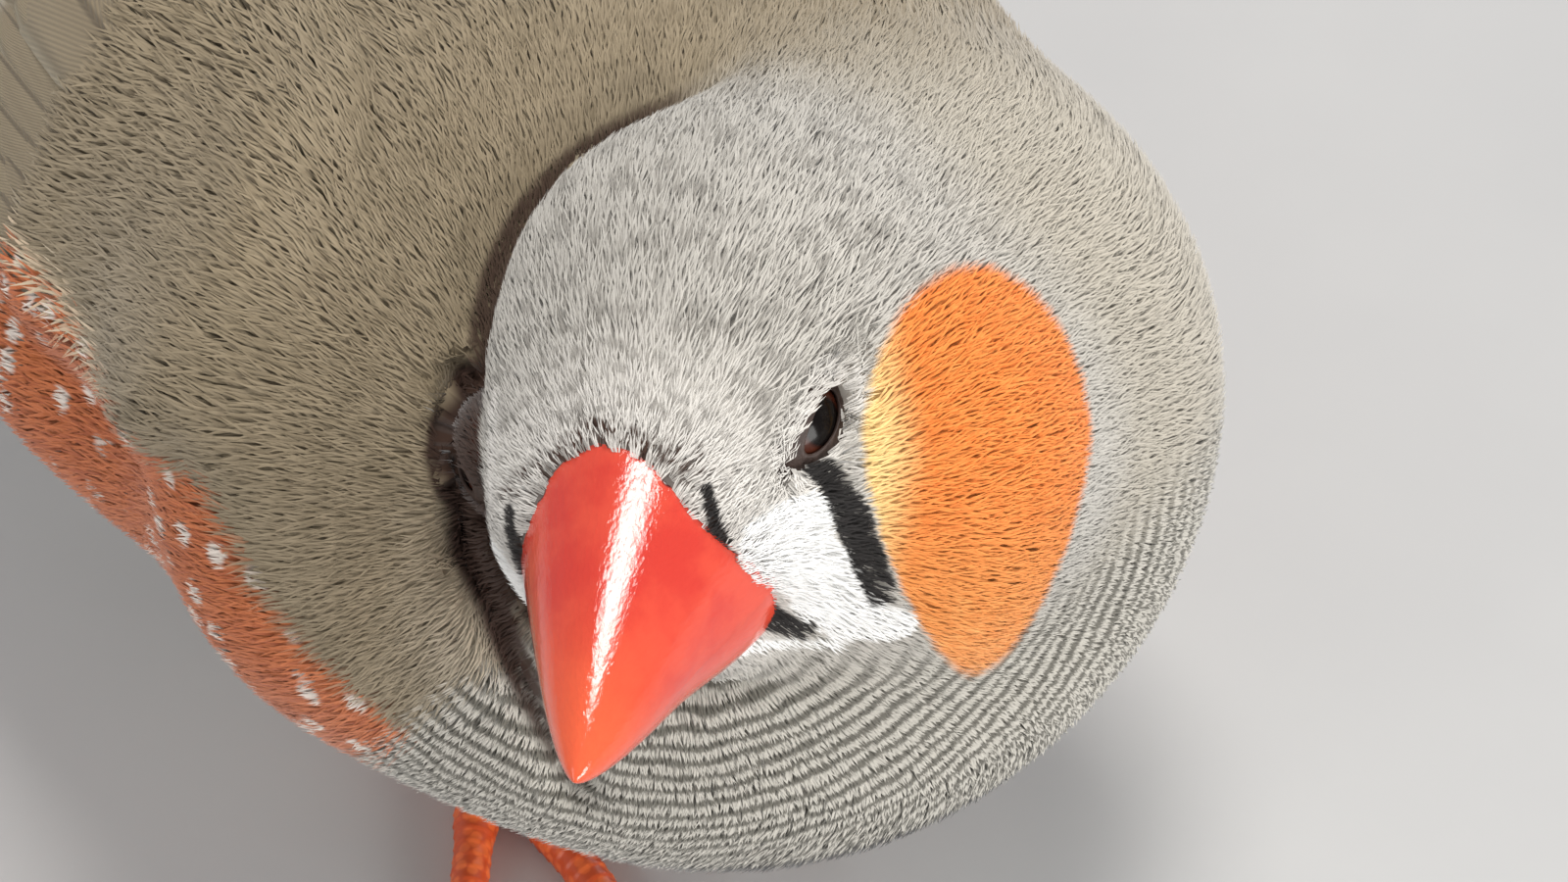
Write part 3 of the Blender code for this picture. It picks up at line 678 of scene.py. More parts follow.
# %% Grey head and neck, brown back
fleck = times(markings_and_shade, ramp(markings_and_shade, strand[1], 0.62, 0.95), ramp(markings_and_shade, face[2], -2.0, 5.0))
forehead = times(markings_and_shade, ramp(markings_and_shade, face[0], 2.5, 7.0), 0.7)
grey = mix(markings_and_shade, forehead, CROWN_GREY, FACE_PALE)
grey = mix(markings_and_shade, times(markings_and_shade, fleck, 0.65), grey, CROWN_FLECK)
plain = mix(markings_and_shade, fold[1], NECK_GREY, grey)
brown = mix(markings_and_shade, ramp(markings_and_shade, strand[1], 0.35, 1.0), MANTLE_BROWN, MANTLE_DARK)
aside = maths(markings_and_shade, "ABSOLUTE", root[0])
sideways = maths(markings_and_shade, "MULTIPLY_ADD", aside, 0.12, root[1])
sideways = maths(markings_and_shade, "MULTIPLY_ADD", root[0], -0.22, sideways)
backward = ramp(markings_and_shade, maths(markings_and_shade, "MULTIPLY_ADD", mild, 4.0, sideways), -21.0, -10.0)
backward = times(markings_and_shade, backward, maths(markings_and_shade, "SUBTRACT", 1.0, fold[1]))
coat_colour = mix(markings_and_shade, backward, plain, brown)

# %% Belly, flanks, wing edge and rump
belly_mask = times(markings_and_shade, fall(markings_and_shade, root[2], -6.5, -3.5), ramp(markings_and_shade, root[1], -13.0, -11.0))
coat_colour = mix(markings_and_shade, belly_mask, coat_colour, BELLY_WHITE)
flank_low = ramp(markings_and_shade, maths(markings_and_shade, "MULTIPLY_ADD", aside, 0.55, root[2]), -4.5, -2.5)
flank_front = maths(markings_and_shade, "MAXIMUM", maths(markings_and_shade, "SUBTRACT", -12.0, root[1]), 0.0)
flank_high = fall(markings_and_shade, maths(markings_and_shade, "MULTIPLY_ADD", flank_front, 1.05, root[2]), 3.6, 4.8)
flank_ends = times(markings_and_shade, ramp(markings_and_shade, root[1], -23.0, -20.0), fall(markings_and_shade, root[1], 24.0, 28.0))
flank_mask = times(markings_and_shade, flank_low, flank_high, flank_ends, ramp(markings_and_shade, aside, 6.0, 8.0))
chestnut = mix(markings_and_shade, ramp(markings_and_shade, tone, 0.3, 0.9), FLANK_CHESTNUT, FLANK_DARK)
spots = add_node(markings_and_shade, "ShaderNodeTexVoronoi", {"Vector": start["Face"], "Scale": 0.5, "Randomness": 0.7})
spot_mask = times(markings_and_shade, fall(markings_and_shade, spots.outputs["Distance"], 0.20, 0.33), 0.85)
chestnut = mix(markings_and_shade, spot_mask, chestnut, BELLY_WHITE)
coat_colour = mix(markings_and_shade, flank_mask, coat_colour, chestnut)
wing_edge = times(
    markings_and_shade,
    ramp(markings_and_shade, root[2], 3.7, 4.0),
    fall(markings_and_shade, root[2], 4.4, 4.7),
    ramp(markings_and_shade, root[1], -8.0, -3.0),
    ramp(markings_and_shade, aside, 10.0, 12.0),
    0.75,
)
coat_colour = mix(markings_and_shade, wing_edge, coat_colour, WING_EDGE_PALE)
coat_colour = mix(markings_and_shade, ramp(markings_and_shade, root[1], 24.0, 28.0), coat_colour, BELLY_WHITE)

# %% Barred throat and black breast band
from_chin = vector_maths(markings_and_shade, "DISTANCE", left_place, CHIN)
waver = times(markings_and_shade, noise(markings_and_shade, start["Face"], 0.35, 2.0), 1.2)
phase = maths(markings_and_shade, "ADD", maths(markings_and_shade, "DIVIDE", from_chin, BAR_PERIOD), waver)
wave = maths(markings_and_shade, "SINE", times(markings_and_shade, phase, math.tau))
wave = maths(markings_and_shade, "MULTIPLY_ADD", wave, 0.5, 0.5)
barred = mix(markings_and_shade, ramp(markings_and_shade, wave, 0.12, 0.74), BAR_DARK, BAR_PALE)
throat_low = fall(markings_and_shade, maths(markings_and_shade, "MULTIPLY_ADD", root[0], 0.2, root[2]), -1.0, 3.4)
from_band = maths(markings_and_shade, "SUBTRACT", -20.0, maths(markings_and_shade, "MULTIPLY_ADD", root[2], 0.7, root[1]))
from_band = maths(markings_and_shade, "MINIMUM", from_band, maths(markings_and_shade, "ADD", root[2], 11.5))
throat_mask = times(markings_and_shade, throat_low, ramp(markings_and_shade, from_band, 0.0, 1.0))
coat_colour = mix(markings_and_shade, throat_mask, coat_colour, barred)
under_band = times(
    markings_and_shade,
    fall(markings_and_shade, from_band, -1.0, 0.0),
    fall(markings_and_shade, root[1], -12.0, -9.0),
    fall(markings_and_shade, root[2], -10.0, -8.0),
)
coat_colour = mix(markings_and_shade, under_band, coat_colour, BELLY_WHITE)
band_mask = times(
    markings_and_shade,
    ramp(markings_and_shade, from_band, -1.8, -1.0),
    fall(markings_and_shade, from_band, 0.6, 1.4),
    fall(markings_and_shade, aside, 10.0, 12.0),
    fall(markings_and_shade, root[2], -5.0, -3.0),
)
coat_colour = mix(markings_and_shade, band_mask, coat_colour, FACE_BLACK)

# %% Orange cheek
cheek_across, cheek_down, cheek_deep = (
    vector_maths(markings_and_shade, "DOT_PRODUCT", left_place, tuple(way)) for way in (EYE_RIGHT, EYE_DOWN, EYE_AHEAD)
)
cheek_taper = maths(markings_and_shade, "MULTIPLY_ADD", maths(markings_and_shade, "MAXIMUM", cheek_down, -1.0), -0.18, 4.07)
cheek_wide = maths(markings_and_shade, "DIVIDE", maths(markings_and_shade, "SUBTRACT", cheek_across, 10.4), cheek_taper)
cheek_long = maths(markings_and_shade, "DIVIDE", maths(markings_and_shade, "SUBTRACT", cheek_down, 0.6), 7.3)
cheek_spot = add_node(markings_and_shade, "ShaderNodeCombineXYZ", {0: cheek_wide, 1: cheek_long}).outputs[0]
on_face = maths(markings_and_shade, "MAXIMUM", ramp(markings_and_shade, face[1], -1.0, 1.0), ramp(markings_and_shade, fold[1], 0.4, 0.8))
cheek_mask = times(
    markings_and_shade,
    fall(markings_and_shade, vector_maths(markings_and_shade, "LENGTH", cheek_spot), 0.94, 1.03),
    fall(markings_and_shade, cheek_deep, 2.5, 4.0),
    on_face,
)
cheek = mix(markings_and_shade, ramp(markings_and_shade, tone, 0.2, 0.9), CHEEK_ORANGE, CHEEK_DEEP)
cheek = mix(markings_and_shade, times(markings_and_shade, ramp(markings_and_shade, cheek_down, 1.0, 7.0), tone), cheek, CHEEK_LOW)
cheek_front = maths(markings_and_shade, "MULTIPLY_ADD", maths(markings_and_shade, "ABSOLUTE", cheek_down), 0.2, cheek_across)
cheek = mix(markings_and_shade, fall(markings_and_shade, cheek_front, 6.9, 9.0), cheek, CHEEK_YELLOW)
coat_colour = mix(markings_and_shade, cheek_mask, coat_colour, cheek)

# %% Strokes of the face, each with start, end, half width and soft edge
EYE_RIM = (((4.5, 6.2, 1.7), (2.6, 7.4, 3.3), 1.15, 0.35),)
CREASE_FRINGE = (
    ((4.2, -4.6, 5.2), (5.1, -4.6, 3.7), 0.45, 0.3),
    ((5.1, -4.6, 3.7), (6.0, -4.5, 2.4), 0.45, 0.3),
)
WHITE_BAND = (
    ((6.4, 4.5, -0.1), (4.9, 6.1, -0.5), 1.0, 0.08),
    ((6.0, 4.9, -0.8), (5.0, 6.1, -3.0), 1.4, 0.08),
    ((4.9, 5.7, -3.5), (4.0, 6.2, -5.2), 1.2, 0.08),
    ((3.9, 6.2, -5.4), (3.3, 7.2, -5.9), 0.9, 0.08),
    ((6.7, 1.6, -4.6), (5.8, 3.2, -4.9), 0.38, 0.10),
    ((5.8, 3.2, -4.9), (3.9, 5.2, -6.3), 0.38, 0.10),
)
BLACK_LINES = (
    ((4.6, 6.1, 1.6), (4.15, 6.85, 0.75), 0.34, 0.08),
    ((4.15, 6.85, 0.75), (4.35, 7.3, -0.6), 0.58, 0.08),
    ((4.35, 7.3, -0.6), (4.2, 7.45, -3.0), 0.68, 0.08),
    ((4.2, 7.45, -3.0), (4.0, 7.4, -4.3), 0.62, 0.08),
    ((7.4, 3.7, 2.5), (7.7, 3.7, 1.1), 0.26, 0.08),
    ((7.7, 3.7, 1.1), (7.5, 3.7, -0.2), 0.32, 0.08),
    ((7.5, 3.7, -0.2), (7.0, 3.7, -1.6), 0.38, 0.08),
    ((7.0, 3.7, -1.6), (5.6, 3.9, -3.8), 0.46, 0.08),
    ((5.6, 3.9, -3.8), (4.8, 4.6, -5.0), 0.48, 0.08),
)
FOREHEAD_BRISTLES = (
    ((6.6, -3.6, 2.6), (6.6, 0.0, 4.7), 0.6, 0.2),
    ((6.6, 0.0, 4.7), (6.6, 3.2, 3.1), 0.6, 0.2),
)


def strokes_mask(place, strokes):
    """One mask for several strokes."""
    found = None
    for drawn in strokes:
        mask = draw_stroke(markings_and_shade, place, *drawn)
        found = mask if found is None else maths(markings_and_shade, "MAXIMUM", found, mask)
    return found


bristles = strokes_mask(start["Face"], FOREHEAD_BRISTLES)
rim_mask = times(markings_and_shade, strokes_mask(left_place, EYE_RIM), 0.6, on_face)
fringe_mask = times(markings_and_shade, strokes_mask(start["Face"], CREASE_FRINGE), 0.8)
for mask, paint in (
    (maths(markings_and_shade, "MAXIMUM", rim_mask, fringe_mask), FACE_PALE),
    (times(markings_and_shade, bristles, ramp(markings_and_shade, strand[2], 0.5, 0.75)), CREASE_BROWN),
    (times(markings_and_shade, strokes_mask(left_place, WHITE_BAND), on_face), FACE_WHITE),
    (times(markings_and_shade, strokes_mask(left_place, BLACK_LINES), on_face), FACE_BLACK),
    # painted shade: the crease, the far eye, and the skin beside bill and eyes turn dark brown
    (ramp(markings_and_shade, fold[0], 0.28, 0.72), CREASE_BROWN),
):
    coat_colour = mix(markings_and_shade, mask, coat_colour, paint)
# Painted shade: each barb grows darker towards its root, where the tufts shade one another; each blade also
# differs a little in tone at random.
shade = maths(markings_and_shade, "MULTIPLY_ADD", strand[2], 0.10, 0.85)
shade = maths(markings_and_shade, "MULTIPLY_ADD", strand[0], 0.14, shade)
light = add_node(markings_and_shade, "ShaderNodeCombineColor", {0: shade, 1: shade, 2: shade}).outputs[0]
markings_and_shade.links.new(mix(markings_and_shade, 1.0, coat_colour, light, "MULTIPLY"), end["Color"])
print("markings group has", len(markings_and_shade.nodes), "nodes")

# %% Plumage material for skin and coat
def plumage(name, roughness):
    """Plumage whose colour comes from the markings and their painted shade."""
    made, tree, shader = new_material(
        name, roughness, Sheen_Weight=0.25, Sheen_Roughness=0.5, Specular_IOR_Level=0.25
    )
    places = {name: attribute(tree, name.lower()) for name in ("Face", "Root", "Strand", "Fold")}
    tree.links.new(use_group(tree, markings_and_shade, places), shader.inputs["Base Color"])
    return made


coat_material = plumage("soft plumage", 0.7)
skin_material = plumage("down close to the skin", 0.9)
print("plumage materials:", coat_material.name, "and", skin_material.name)

# %% [markdown]
# ## The skin
#
# Under the feathers lies one unbroken skin. Spheres are set where the head, the cheeks,
# the neck, the trunk and the thighs are, joined, and turned into one even mesh by a
# voxel remesh. Its points are then moved to the depth at which the tufts are rooted:
# half a millimetre on the head, more than a millimetre on the body.

# %% One skin from spheres
SKIN_VOXEL = 0.6
HEAD_DEPTH = 0.55
BODY_DEPTH = 1.2
THIGH_DEPTH = 0.5
# The skin's first strand value sets its painted shade, between that of the barbs' roots and tips.
SKIN_STRAND = (0.6, 0.5, 0.3)
SOCKET_REACH = 2.3
SOCKET_GAP = 0.15
BILL_BASE = np.array((5.4, 0.0, -0.3))
BILL_TIP = np.array((16.8, 0.0, -3.0))
BILL_HALF_WIDTH = 4.6
BILL_HALF_DEPTH = 5.0
BILL_TAPER = 0.74


def inside_bill(p):
    """How near points are to the bill's axis, 1 at its surface."""
    along = unit(BILL_TIP - BILL_BASE)
    up = np.cross(along, (0.0, 1.0, 0.0))
    q = in_head(p) - BILL_BASE
    ahead = q @ along / np.linalg.norm(BILL_TIP - BILL_BASE)
    girth = np.clip(1.0 - np.clip(ahead, 0.0, 1.0), 1e-3, 1.0) ** BILL_TAPER
    share = np.hypot(q[:, 1] / (BILL_HALF_WIDTH * girth), q @ up / (BILL_HALF_DEPTH * girth))
    return np.where(ahead > -0.3, share, 9.0)


def head_share(p):
    """1 on the head and 0 on the body, with a soft change over the throat."""
    return 1.0 - smooth_step(head_field(p), 0.2, 7.0)


def coat_depth(p):
    """How deep the tufts are rooted below the coat's surface, less beside bill and eyes."""
    return (BODY_DEPTH + (HEAD_DEPTH - BODY_DEPTH) * head_share(p)) * (1.0 - 0.5 * beside_bare(p))


def beside_bare(p):
    """1 close to the bill or an eye's slit, where the feathers are tiny."""
    eye = 1.0 - smooth_step(around_eye(p)[0], 1.3, 3.0)
    return np.maximum(1.0 - smooth_step(inside_bill(p), 1.0, 1.35), eye)


def add_ball(centre, radii, axes):
    """A sphere added and stretched to an ellipsoid of the bird."""
    deselect()
    bpy.ops.mesh.primitive_uv_sphere_add(segments=40, ring_count=24, radius=1.0)
    ball = bpy.context.object
    lay_points(ball, drawn_points(ball) * radii @ axes.T + centre)
    return ball


balls = [add_ball(on_trunk(c), np.array(r) - BODY_DEPTH, TRUNK_AXES) for c, r in (*TRUNK_FORMS, NECK_FORM)]
balls += [add_ball(on_head(c), np.array(r) - HEAD_DEPTH, HEAD_AXES) for c, r in HEAD_FORMS]
for side in (1.0, -1.0):
    middle = np.array(THIGH_CENTRE) * (side, 1.0, 1.0)
    balls.append(add_ball(middle, np.array(THIGH_RADII) - THIGH_DEPTH, np.eye(3)))
pick(*balls)
bpy.ops.object.join()
skin = bpy.context.object
skin.name = "skin"
skin.data.remesh_voxel_size = SKIN_VOXEL * MM
bpy.ops.object.voxel_remesh()
print("skin after the remesh:", len(skin.data.vertices), "points")

# %% Settle the skin at its depth
def read_points(mesh):
    """A mesh's points in the bird's millimetres."""
    flat = np.empty(len(mesh.vertices) * 3)
    mesh.vertices.foreach_get("co", flat)
    return flat.reshape(-1, 3) / MM - SHIFT


def skin_level(p):
    """The coat's field, raised by the depth, so that the skin lies at 0."""
    return coat_field(p) + coat_depth(p)


def write_vectors(mesh, name, values):
    """A vector for each point of a mesh, under a name."""
    made = mesh.attributes.new(name, "FLOAT_VECTOR", "POINT")
    made.data.foreach_set("vector", np.asarray(values, np.float32).ravel())


def carry_marks(mesh, points, face, root, strand, dark):
    """What the markings read: place on the head, root on the trunk, strand, and fold, which carries the
    crease's painted shade.
    """
    fold = np.stack([dark, head_tone(points), np.zeros(len(points))], 1)
    for name, values in (("face", face), ("root", root), ("strand", strand), ("fold", fold)):
        write_vectors(mesh, name, values)


points = settle(read_points(skin.data), skin_level, 0.0, rounds=5)
for side in (1.0, -1.0):
    middle = eye_middle(side)
    axes = lid_frame(side)
    local = (points - middle) @ axes
    share = np.hypot(local[:, 0] / SLIT[0], local[:, 1] / SLIT[1])
    deep = (share < SOCKET_REACH) & (local[:, 2] > 0.0)
    points[deep] = middle + unit(local[deep]) @ axes.T * (EYE_RADIUS - SOCKET_GAP)
lay_points(skin, points)
skin.data.shade_smooth()
# Painted shade on the skin: dark brown in the crease and beside the bill and the eye slits.
skin_painted_shade = np.maximum(painted_crease_shade(points), 0.6 * beside_bare(points))
strands = np.tile(SKIN_STRAND, (len(points), 1))
carry_marks(skin.data, points, in_head(points), in_trunk(points), strands, skin_painted_shade)
skin.data.materials.append(skin_material)
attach(skin, "root")
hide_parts("head", "neck", "torso", "thigh_left", "thigh_right")
print("skin spans", np.round(np.ptp(points, axis=0), 1), "mm")

# %% [markdown]
# ## Where the tufts grow
#
# Points are strewn over the skin and thinned until they keep a set distance, closer on
# the head than on the body. None grow where the bill, the eye's slit or the open part
# of the wing is. Each tuft follows the lie of the coat: away from the bill over the
# head, then towards the tail along the body.

# %% Strew and thin the roots
RIM_SPACING = 0.19
HEAD_SPACING = 0.26
FRONT_SPACING = 0.36
REAR_SPACING = 0.50
ROOT_CELL = 0.62
ROOTS_STREWN = 260000
random = np.random.default_rng(7)


def spacing(p):
    """The distance that neighbouring roots keep."""
    along = in_trunk(p)[:, 1]
    body = FRONT_SPACING + (REAR_SPACING - FRONT_SPACING) * smooth_step(along, -8.0, 4.0)
    share = smooth_step(head_share(p), 0.0, 0.9)
    head = HEAD_SPACING + (RIM_SPACING - HEAD_SPACING) * beside_bare(p)
    return body + (head - body) * share


def strew(mesh, count):
    """Random points on a mesh of the bird, evenly by area."""
    mesh.calc_loop_triangles()
    corners = read_points(mesh)
    flat = np.empty(len(mesh.loop_triangles) * 3, np.int32)
    mesh.loop_triangles.foreach_get("vertices", flat)
    a, b, c = (corners[flat.reshape(-1, 3)[:, i]] for i in range(3))
    areas = np.linalg.norm(np.cross(b - a, c - a), axis=1)
    chosen = random.choice(len(areas), count, p=areas / areas.sum())
    u, v = random.random((2, count))
    fold = u + v > 1.0
    u, v = np.where(fold, 1.0 - u, u), np.where(fold, 1.0 - v, v)
    return a[chosen] + (b - a)[chosen] * u[:, None] + (c - a)[chosen] * v[:, None]


def thin_out(points, gaps):
    """Keeps the points that stay clear of those already kept."""
    kept, cells = [], {}
    keys = np.floor(points / ROOT_CELL).astype(int)
    nearby = [(i, j, k) for i in (-1, 0, 1) for j in (-1, 0, 1) for k in (-1, 0, 1)]
    for index in range(len(points)):
        x, y, z = points[index]
        key = tuple(keys[index])
        limit = gaps[index] ** 2
        for i, j, k in nearby:
            for qx, qy, qz in cells.get((key[0] + i, key[1] + j, key[2] + k), ()):
                if (x - qx) ** 2 + (y - qy) ** 2 + (z - qz) ** 2 < limit:
                    break
            else:
                continue
            break
        else:
            cells.setdefault(key, []).append((x, y, z))
            kept.append(index)
    return np.array(kept)


def under_open_wing(p):
    """True where the folded wing's vanes cover the body."""
    along, angle = along_and_angle(p)
    low, high = table(WING_LOWER_EDGE, along), table(WING_UPPER_EDGE, along)
    return (along > 8.5) & (along < 26.0) & (angle > low + 6.0) & (angle < high - 4.0)


roots = strew(skin.data, ROOTS_STREWN)
roots = roots[thin_out(roots, spacing(roots))]
eye_share, eye_way = around_eye(roots)
grows = (eye_share > 1.3) & (inside_bill(roots) > 0.9) & ~under_open_wing(roots)
roots, eye_share, eye_way = roots[grows], eye_share[grows], eye_way[grows]
roots = settle(roots, skin_level, 0.0)
print("tufts:", len(roots))

# %% The lie of the coat
def coat_flow(p, normal, eye_share, eye_way):
    """The direction along the skin in which the tufts lie."""
    from_bill = unit(p - on_head(BILL_BASE))
    tailwards = TRUNK_AXES[:, 1] + TRUNK_AXES[:, 2] * -0.25
    share = smooth_step(head_share(p), 0.0, 0.8)[:, None]
    way = from_bill * share + tailwards * (1.0 - share)
    inwards = np.minimum(np.sum(way * eye_way, axis=1), 0.0)
    close = (1.0 - smooth_step(eye_share, 1.5, 3.8))[:, None]
    way = way - eye_way * inwards[:, None] * close * 1.6
    way = way - normal * np.sum(way * normal, axis=1)[:, None]
    return unit(way)


_, normals = slope(coat_field, roots)
flows = coat_flow(roots, normals, eye_share, eye_way)
wobble = random.normal(0.0, 0.07, len(roots))[:, None]
flows = unit(flows + np.cross(normals, flows) * wobble)
print("mean lie of the coat", np.round(flows.mean(0), 2))

# %% [markdown]
# ## Building the tufts
#
# A tuft is the visible end of one small feather: a fan of five flat barbs, each a thin
# solid blade of three sides that ends in a point. All blades of a region are computed
# together as arrays and become one mesh, because tens of thousands of separate
# objects would be too slow. Each tuft gets a small patch of its own in the map that
# the baked colours use.

# %% Length and width of the barbs
BARBS = 5
FAN = math.radians(8.0)
HEAD_LENGTH = 1.3
BODY_LENGTH = 2.6
HEAD_BARB = 0.09
BODY_BARB = 0.18
RIDGE = 0.18
PATCH_SIZE = 0.003
BLADE_SHARE = np.array([0.0, 0.0, 0.0, 0.5, 0.5, 0.5, 1.0])
BLADE_POINTS = len(BLADE_SHARE)
BLADE_FACES = np.array([
    (0, 2, 1), (0, 1, 4), (0, 4, 3), (1, 2, 5), (1, 5, 4),
    (2, 0, 3), (2, 3, 5), (3, 4, 6), (4, 5, 6), (5, 3, 6),
])

near_bill = 1.0 - smooth_step(inside_bill(roots), 1.0, 1.7)
near_eye = 1.0 - smooth_step(eye_share, 1.5, 3.6)
share = smooth_step(head_share(roots), 0.0, 0.9)
lengths = BODY_LENGTH + (HEAD_LENGTH - BODY_LENGTH) * share
lengths *= 1.0 - 0.5 * np.maximum(near_bill * share, near_eye)
lengths *= 1.0 - 0.4 * crease(roots)
lengths *= random.uniform(0.85, 1.15, len(roots))
inward = -np.sum(flows * eye_way, axis=1)
room = np.maximum((eye_share - 1.1) * SLIT[1] / np.maximum(inward, 0.1), 0.25)
lengths = np.where(inward > 0.1, np.minimum(lengths, room), lengths)
barb_widths = BODY_BARB + (HEAD_BARB - BODY_BARB) * share
barb_widths *= 1.0 - 0.25 * np.maximum(near_bill * share, near_eye)
tip_levels = random.uniform(-0.08, 0.03, len(roots)) + 0.1 * beside_bare(roots)
tuft_tones = random.random(len(roots))
jitter = random.normal(0.0, 0.05, (len(roots), 3))
print("tuft length", round(float(lengths.min()), 2), "to", round(float(lengths.max()), 2), "mm")

# %% Blades as arrays
def unwrap(p):
    """A map of the skin's own shape: the head round its middle, the trunk round its axis."""
    q = in_head(p)
    head_map = np.stack([np.arctan2(q[:, 1], q[:, 0]) / math.tau + 0.5, unit(q)[:, 2] * 0.22 + 0.75], 1)
    t = in_trunk(p)
    trunk_map = np.stack([np.arctan2(t[:, 0], t[:, 2]) / math.tau + 0.5, (t[:, 1] + 36.0) / 160.0 + 0.02], 1)
    on_the_head = (head_field(p) < trunk_field(p))[:, None]
    return np.clip(np.where(on_the_head, head_map, trunk_map), 0.004, 0.996)


def flatten(values):
    """The first two axes of an array as one."""
    return values.reshape(-1, *values.shape[2:])


def blades(chosen):
    """Points, faces and carried values of the tufts with these numbers."""
    count = len(chosen)
    r, n, f = roots[chosen], normals[chosen], flows[chosen]
    s = np.cross(n, f)
    place_in_fan = np.arange(BARBS) - (BARBS - 1) / 2.0
    angle = place_in_fan * FAN + random.normal(0.0, 0.07, (count, BARBS))
    way = f[:, None] * np.cos(angle)[..., None] + s[:, None] * np.sin(angle)[..., None]
    length = lengths[chosen][:, None] * (1.0 - 0.07 * np.abs(place_in_fan))
    length = length * random.uniform(0.82, 1.12, (count, BARBS))
    width = barb_widths[chosen][:, None] * random.uniform(0.8, 1.15, (count, BARBS))
    base = r[:, None] + s[:, None] * (place_in_fan[:, None] * width[..., None] * 0.7)
    level = tip_levels[chosen][:, None] + random.uniform(-0.06, 0.06, (count, BARBS))
    depth = coat_depth(r)[:, None]
    middle, tip = base + way * (length * 0.5)[..., None], base + way * length[..., None]
    middle = settle(flatten(middle), coat_field, (level - depth * 0.26).ravel(), 2)
    tip = settle(flatten(tip), coat_field, level.ravel(), 2)
    base, width = flatten(base), flatten(width)[:, None]
    ahead = unit(middle - base)
    out = np.repeat(n, BARBS, 0)
    side = unit(np.cross(out, ahead))
    out = np.cross(ahead, side)
    ridge = out * width * RIDGE
    half = side * width * 0.5
    corners = np.stack(
        [
            base - half * 0.6,
            base + half * 0.6,
            base + ridge * 0.6,
            middle - half,
            middle + half,
            middle + ridge,
            tip,
        ],
        1,
    )
    numbers = np.arange(count * BARBS)[:, None, None] * BLADE_POINTS + BLADE_FACES
    tuft_tone = np.repeat(tuft_tones[chosen], BARBS)[:, None]
    barb_tone = flatten(random.random((count, BARBS)))[:, None]
    # The first value, the share along the barb, later darkens its root as painted shade.
    tones = np.stack(np.broadcast_arrays(BLADE_SHARE, tuft_tone, barb_tone), 2)
    tuft_root = np.repeat(np.repeat(in_trunk(r), BARBS, 0)[:, None], BLADE_POINTS, 1)
    face = in_head(corners.reshape(-1, 3)) + np.repeat(jitter[chosen], BARBS * BLADE_POINTS, 0)
    patch = np.repeat(np.repeat(unwrap(r), BARBS, 0)[:, None], BLADE_POINTS, 1)
    lean = np.tile(place_in_fan / BARBS, count)[:, None] * PATCH_SIZE
    reach = (BLADE_SHARE - 0.5)[None] * PATCH_SIZE
    patch = patch + np.stack(np.broadcast_arrays(lean, reach), 2)
    _, soft = slope(coat_field, corners[:, 3])
    across = np.stack([-side, side, out, -side, side, out, np.zeros_like(side)], 1)
    soft = unit(soft[:, None] + across * 0.25)
    return (
        corners.reshape(-1, 3),
        numbers.reshape(-1, 3),
        face,
        tuft_root.reshape(-1, 3),
        tones.reshape(-1, 3),
        patch.reshape(-1, 2),
        soft.reshape(-1, 3),
    )


def mesh_from(name, corners, faces, uv=None):
    """A mesh object from arrays of points, in the bird's millimetres, and triangles."""
    mesh = bpy.data.meshes.new(name)
    mesh.vertices.add(len(corners))
    mesh.vertices.foreach_set("co", in_row(corners).astype(np.float32).ravel())
    mesh.loops.add(faces.size)
    mesh.loops.foreach_set("vertex_index", faces.astype(np.int32).ravel())
    mesh.polygons.add(len(faces))
    mesh.polygons.foreach_set("loop_start", np.arange(0, faces.size, faces.shape[1], dtype=np.int32))
    mesh.polygons.foreach_set("use_smooth", np.ones(len(faces), bool))
    if uv is not None:
        layer = mesh.uv_layers.new(name="OFBake")
        layer.data.foreach_set("uv", uv[faces.ravel()].astype(np.float32).ravel())
    mesh.update(calc_edges=True)
    made = bpy.data.objects.new(name, mesh)
    bpy.context.scene.collection.objects.link(made)
    return made


def finish_piece(piece, material, slot, *nodes):
    """Material and ride of a piece, and the nodes it stands for. The slot is not used."""
    piece.data.materials.append(material)
    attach(piece, "root")
    if nodes:
        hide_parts(*nodes)


print("a tuft has", BARBS * len(BLADE_FACES), "triangles")

# %% Regions of the coat
root_head, root_trunk = in_head(roots), in_trunk(roots)
is_head = head_field(roots) + HEAD_DEPTH < trunk_field(roots) + BODY_DEPTH
is_crown, is_face_left = root_head[:, 2] > 2.5, root_head[:, 1] > 0.0
is_left, is_front, is_top = root_trunk[:, 0] > 0.0, root_trunk[:, 1] < -16.0, root_trunk[:, 2] > 0.0
tests = (
    is_head & is_crown, is_head & is_face_left, is_head, is_front & is_top, is_front & is_left,
    is_front, is_top & is_left, is_top, is_left,
)
regions = np.select(tests, range(len(tests)), len(tests))
REGION_NAMES = (
    "crown", "face_left", "face_right", "nape", "breast_left", "breast_right",
    "back_left", "back_right", "belly_left", "belly_right",
)
SLOTS = ("grey_plumage",) * 6 + ("brown_plumage",) * 2 + ("pale_plumage",) * 2
coat_triangles = 0
for number, (region, slot) in enumerate(zip(REGION_NAMES, SLOTS)):
    corners, faces, face, tuft_root, tones, patch, soft = blades(np.flatnonzero(regions == number))
    coat = mesh_from("coat_" + region, corners, faces, patch)
    # The fold carries the painted shade of the crease.
    carry_marks(coat.data, corners, face, tuft_root, tones, painted_crease_shade(corners))
    coat.data.normals_split_custom_set_from_vertices(soft)
    finish_piece(coat, coat_material, slot)
    coat_triangles += len(faces)
    print(coat.name, len(faces), "triangles")
print("coat in all", coat_triangles, "triangles")

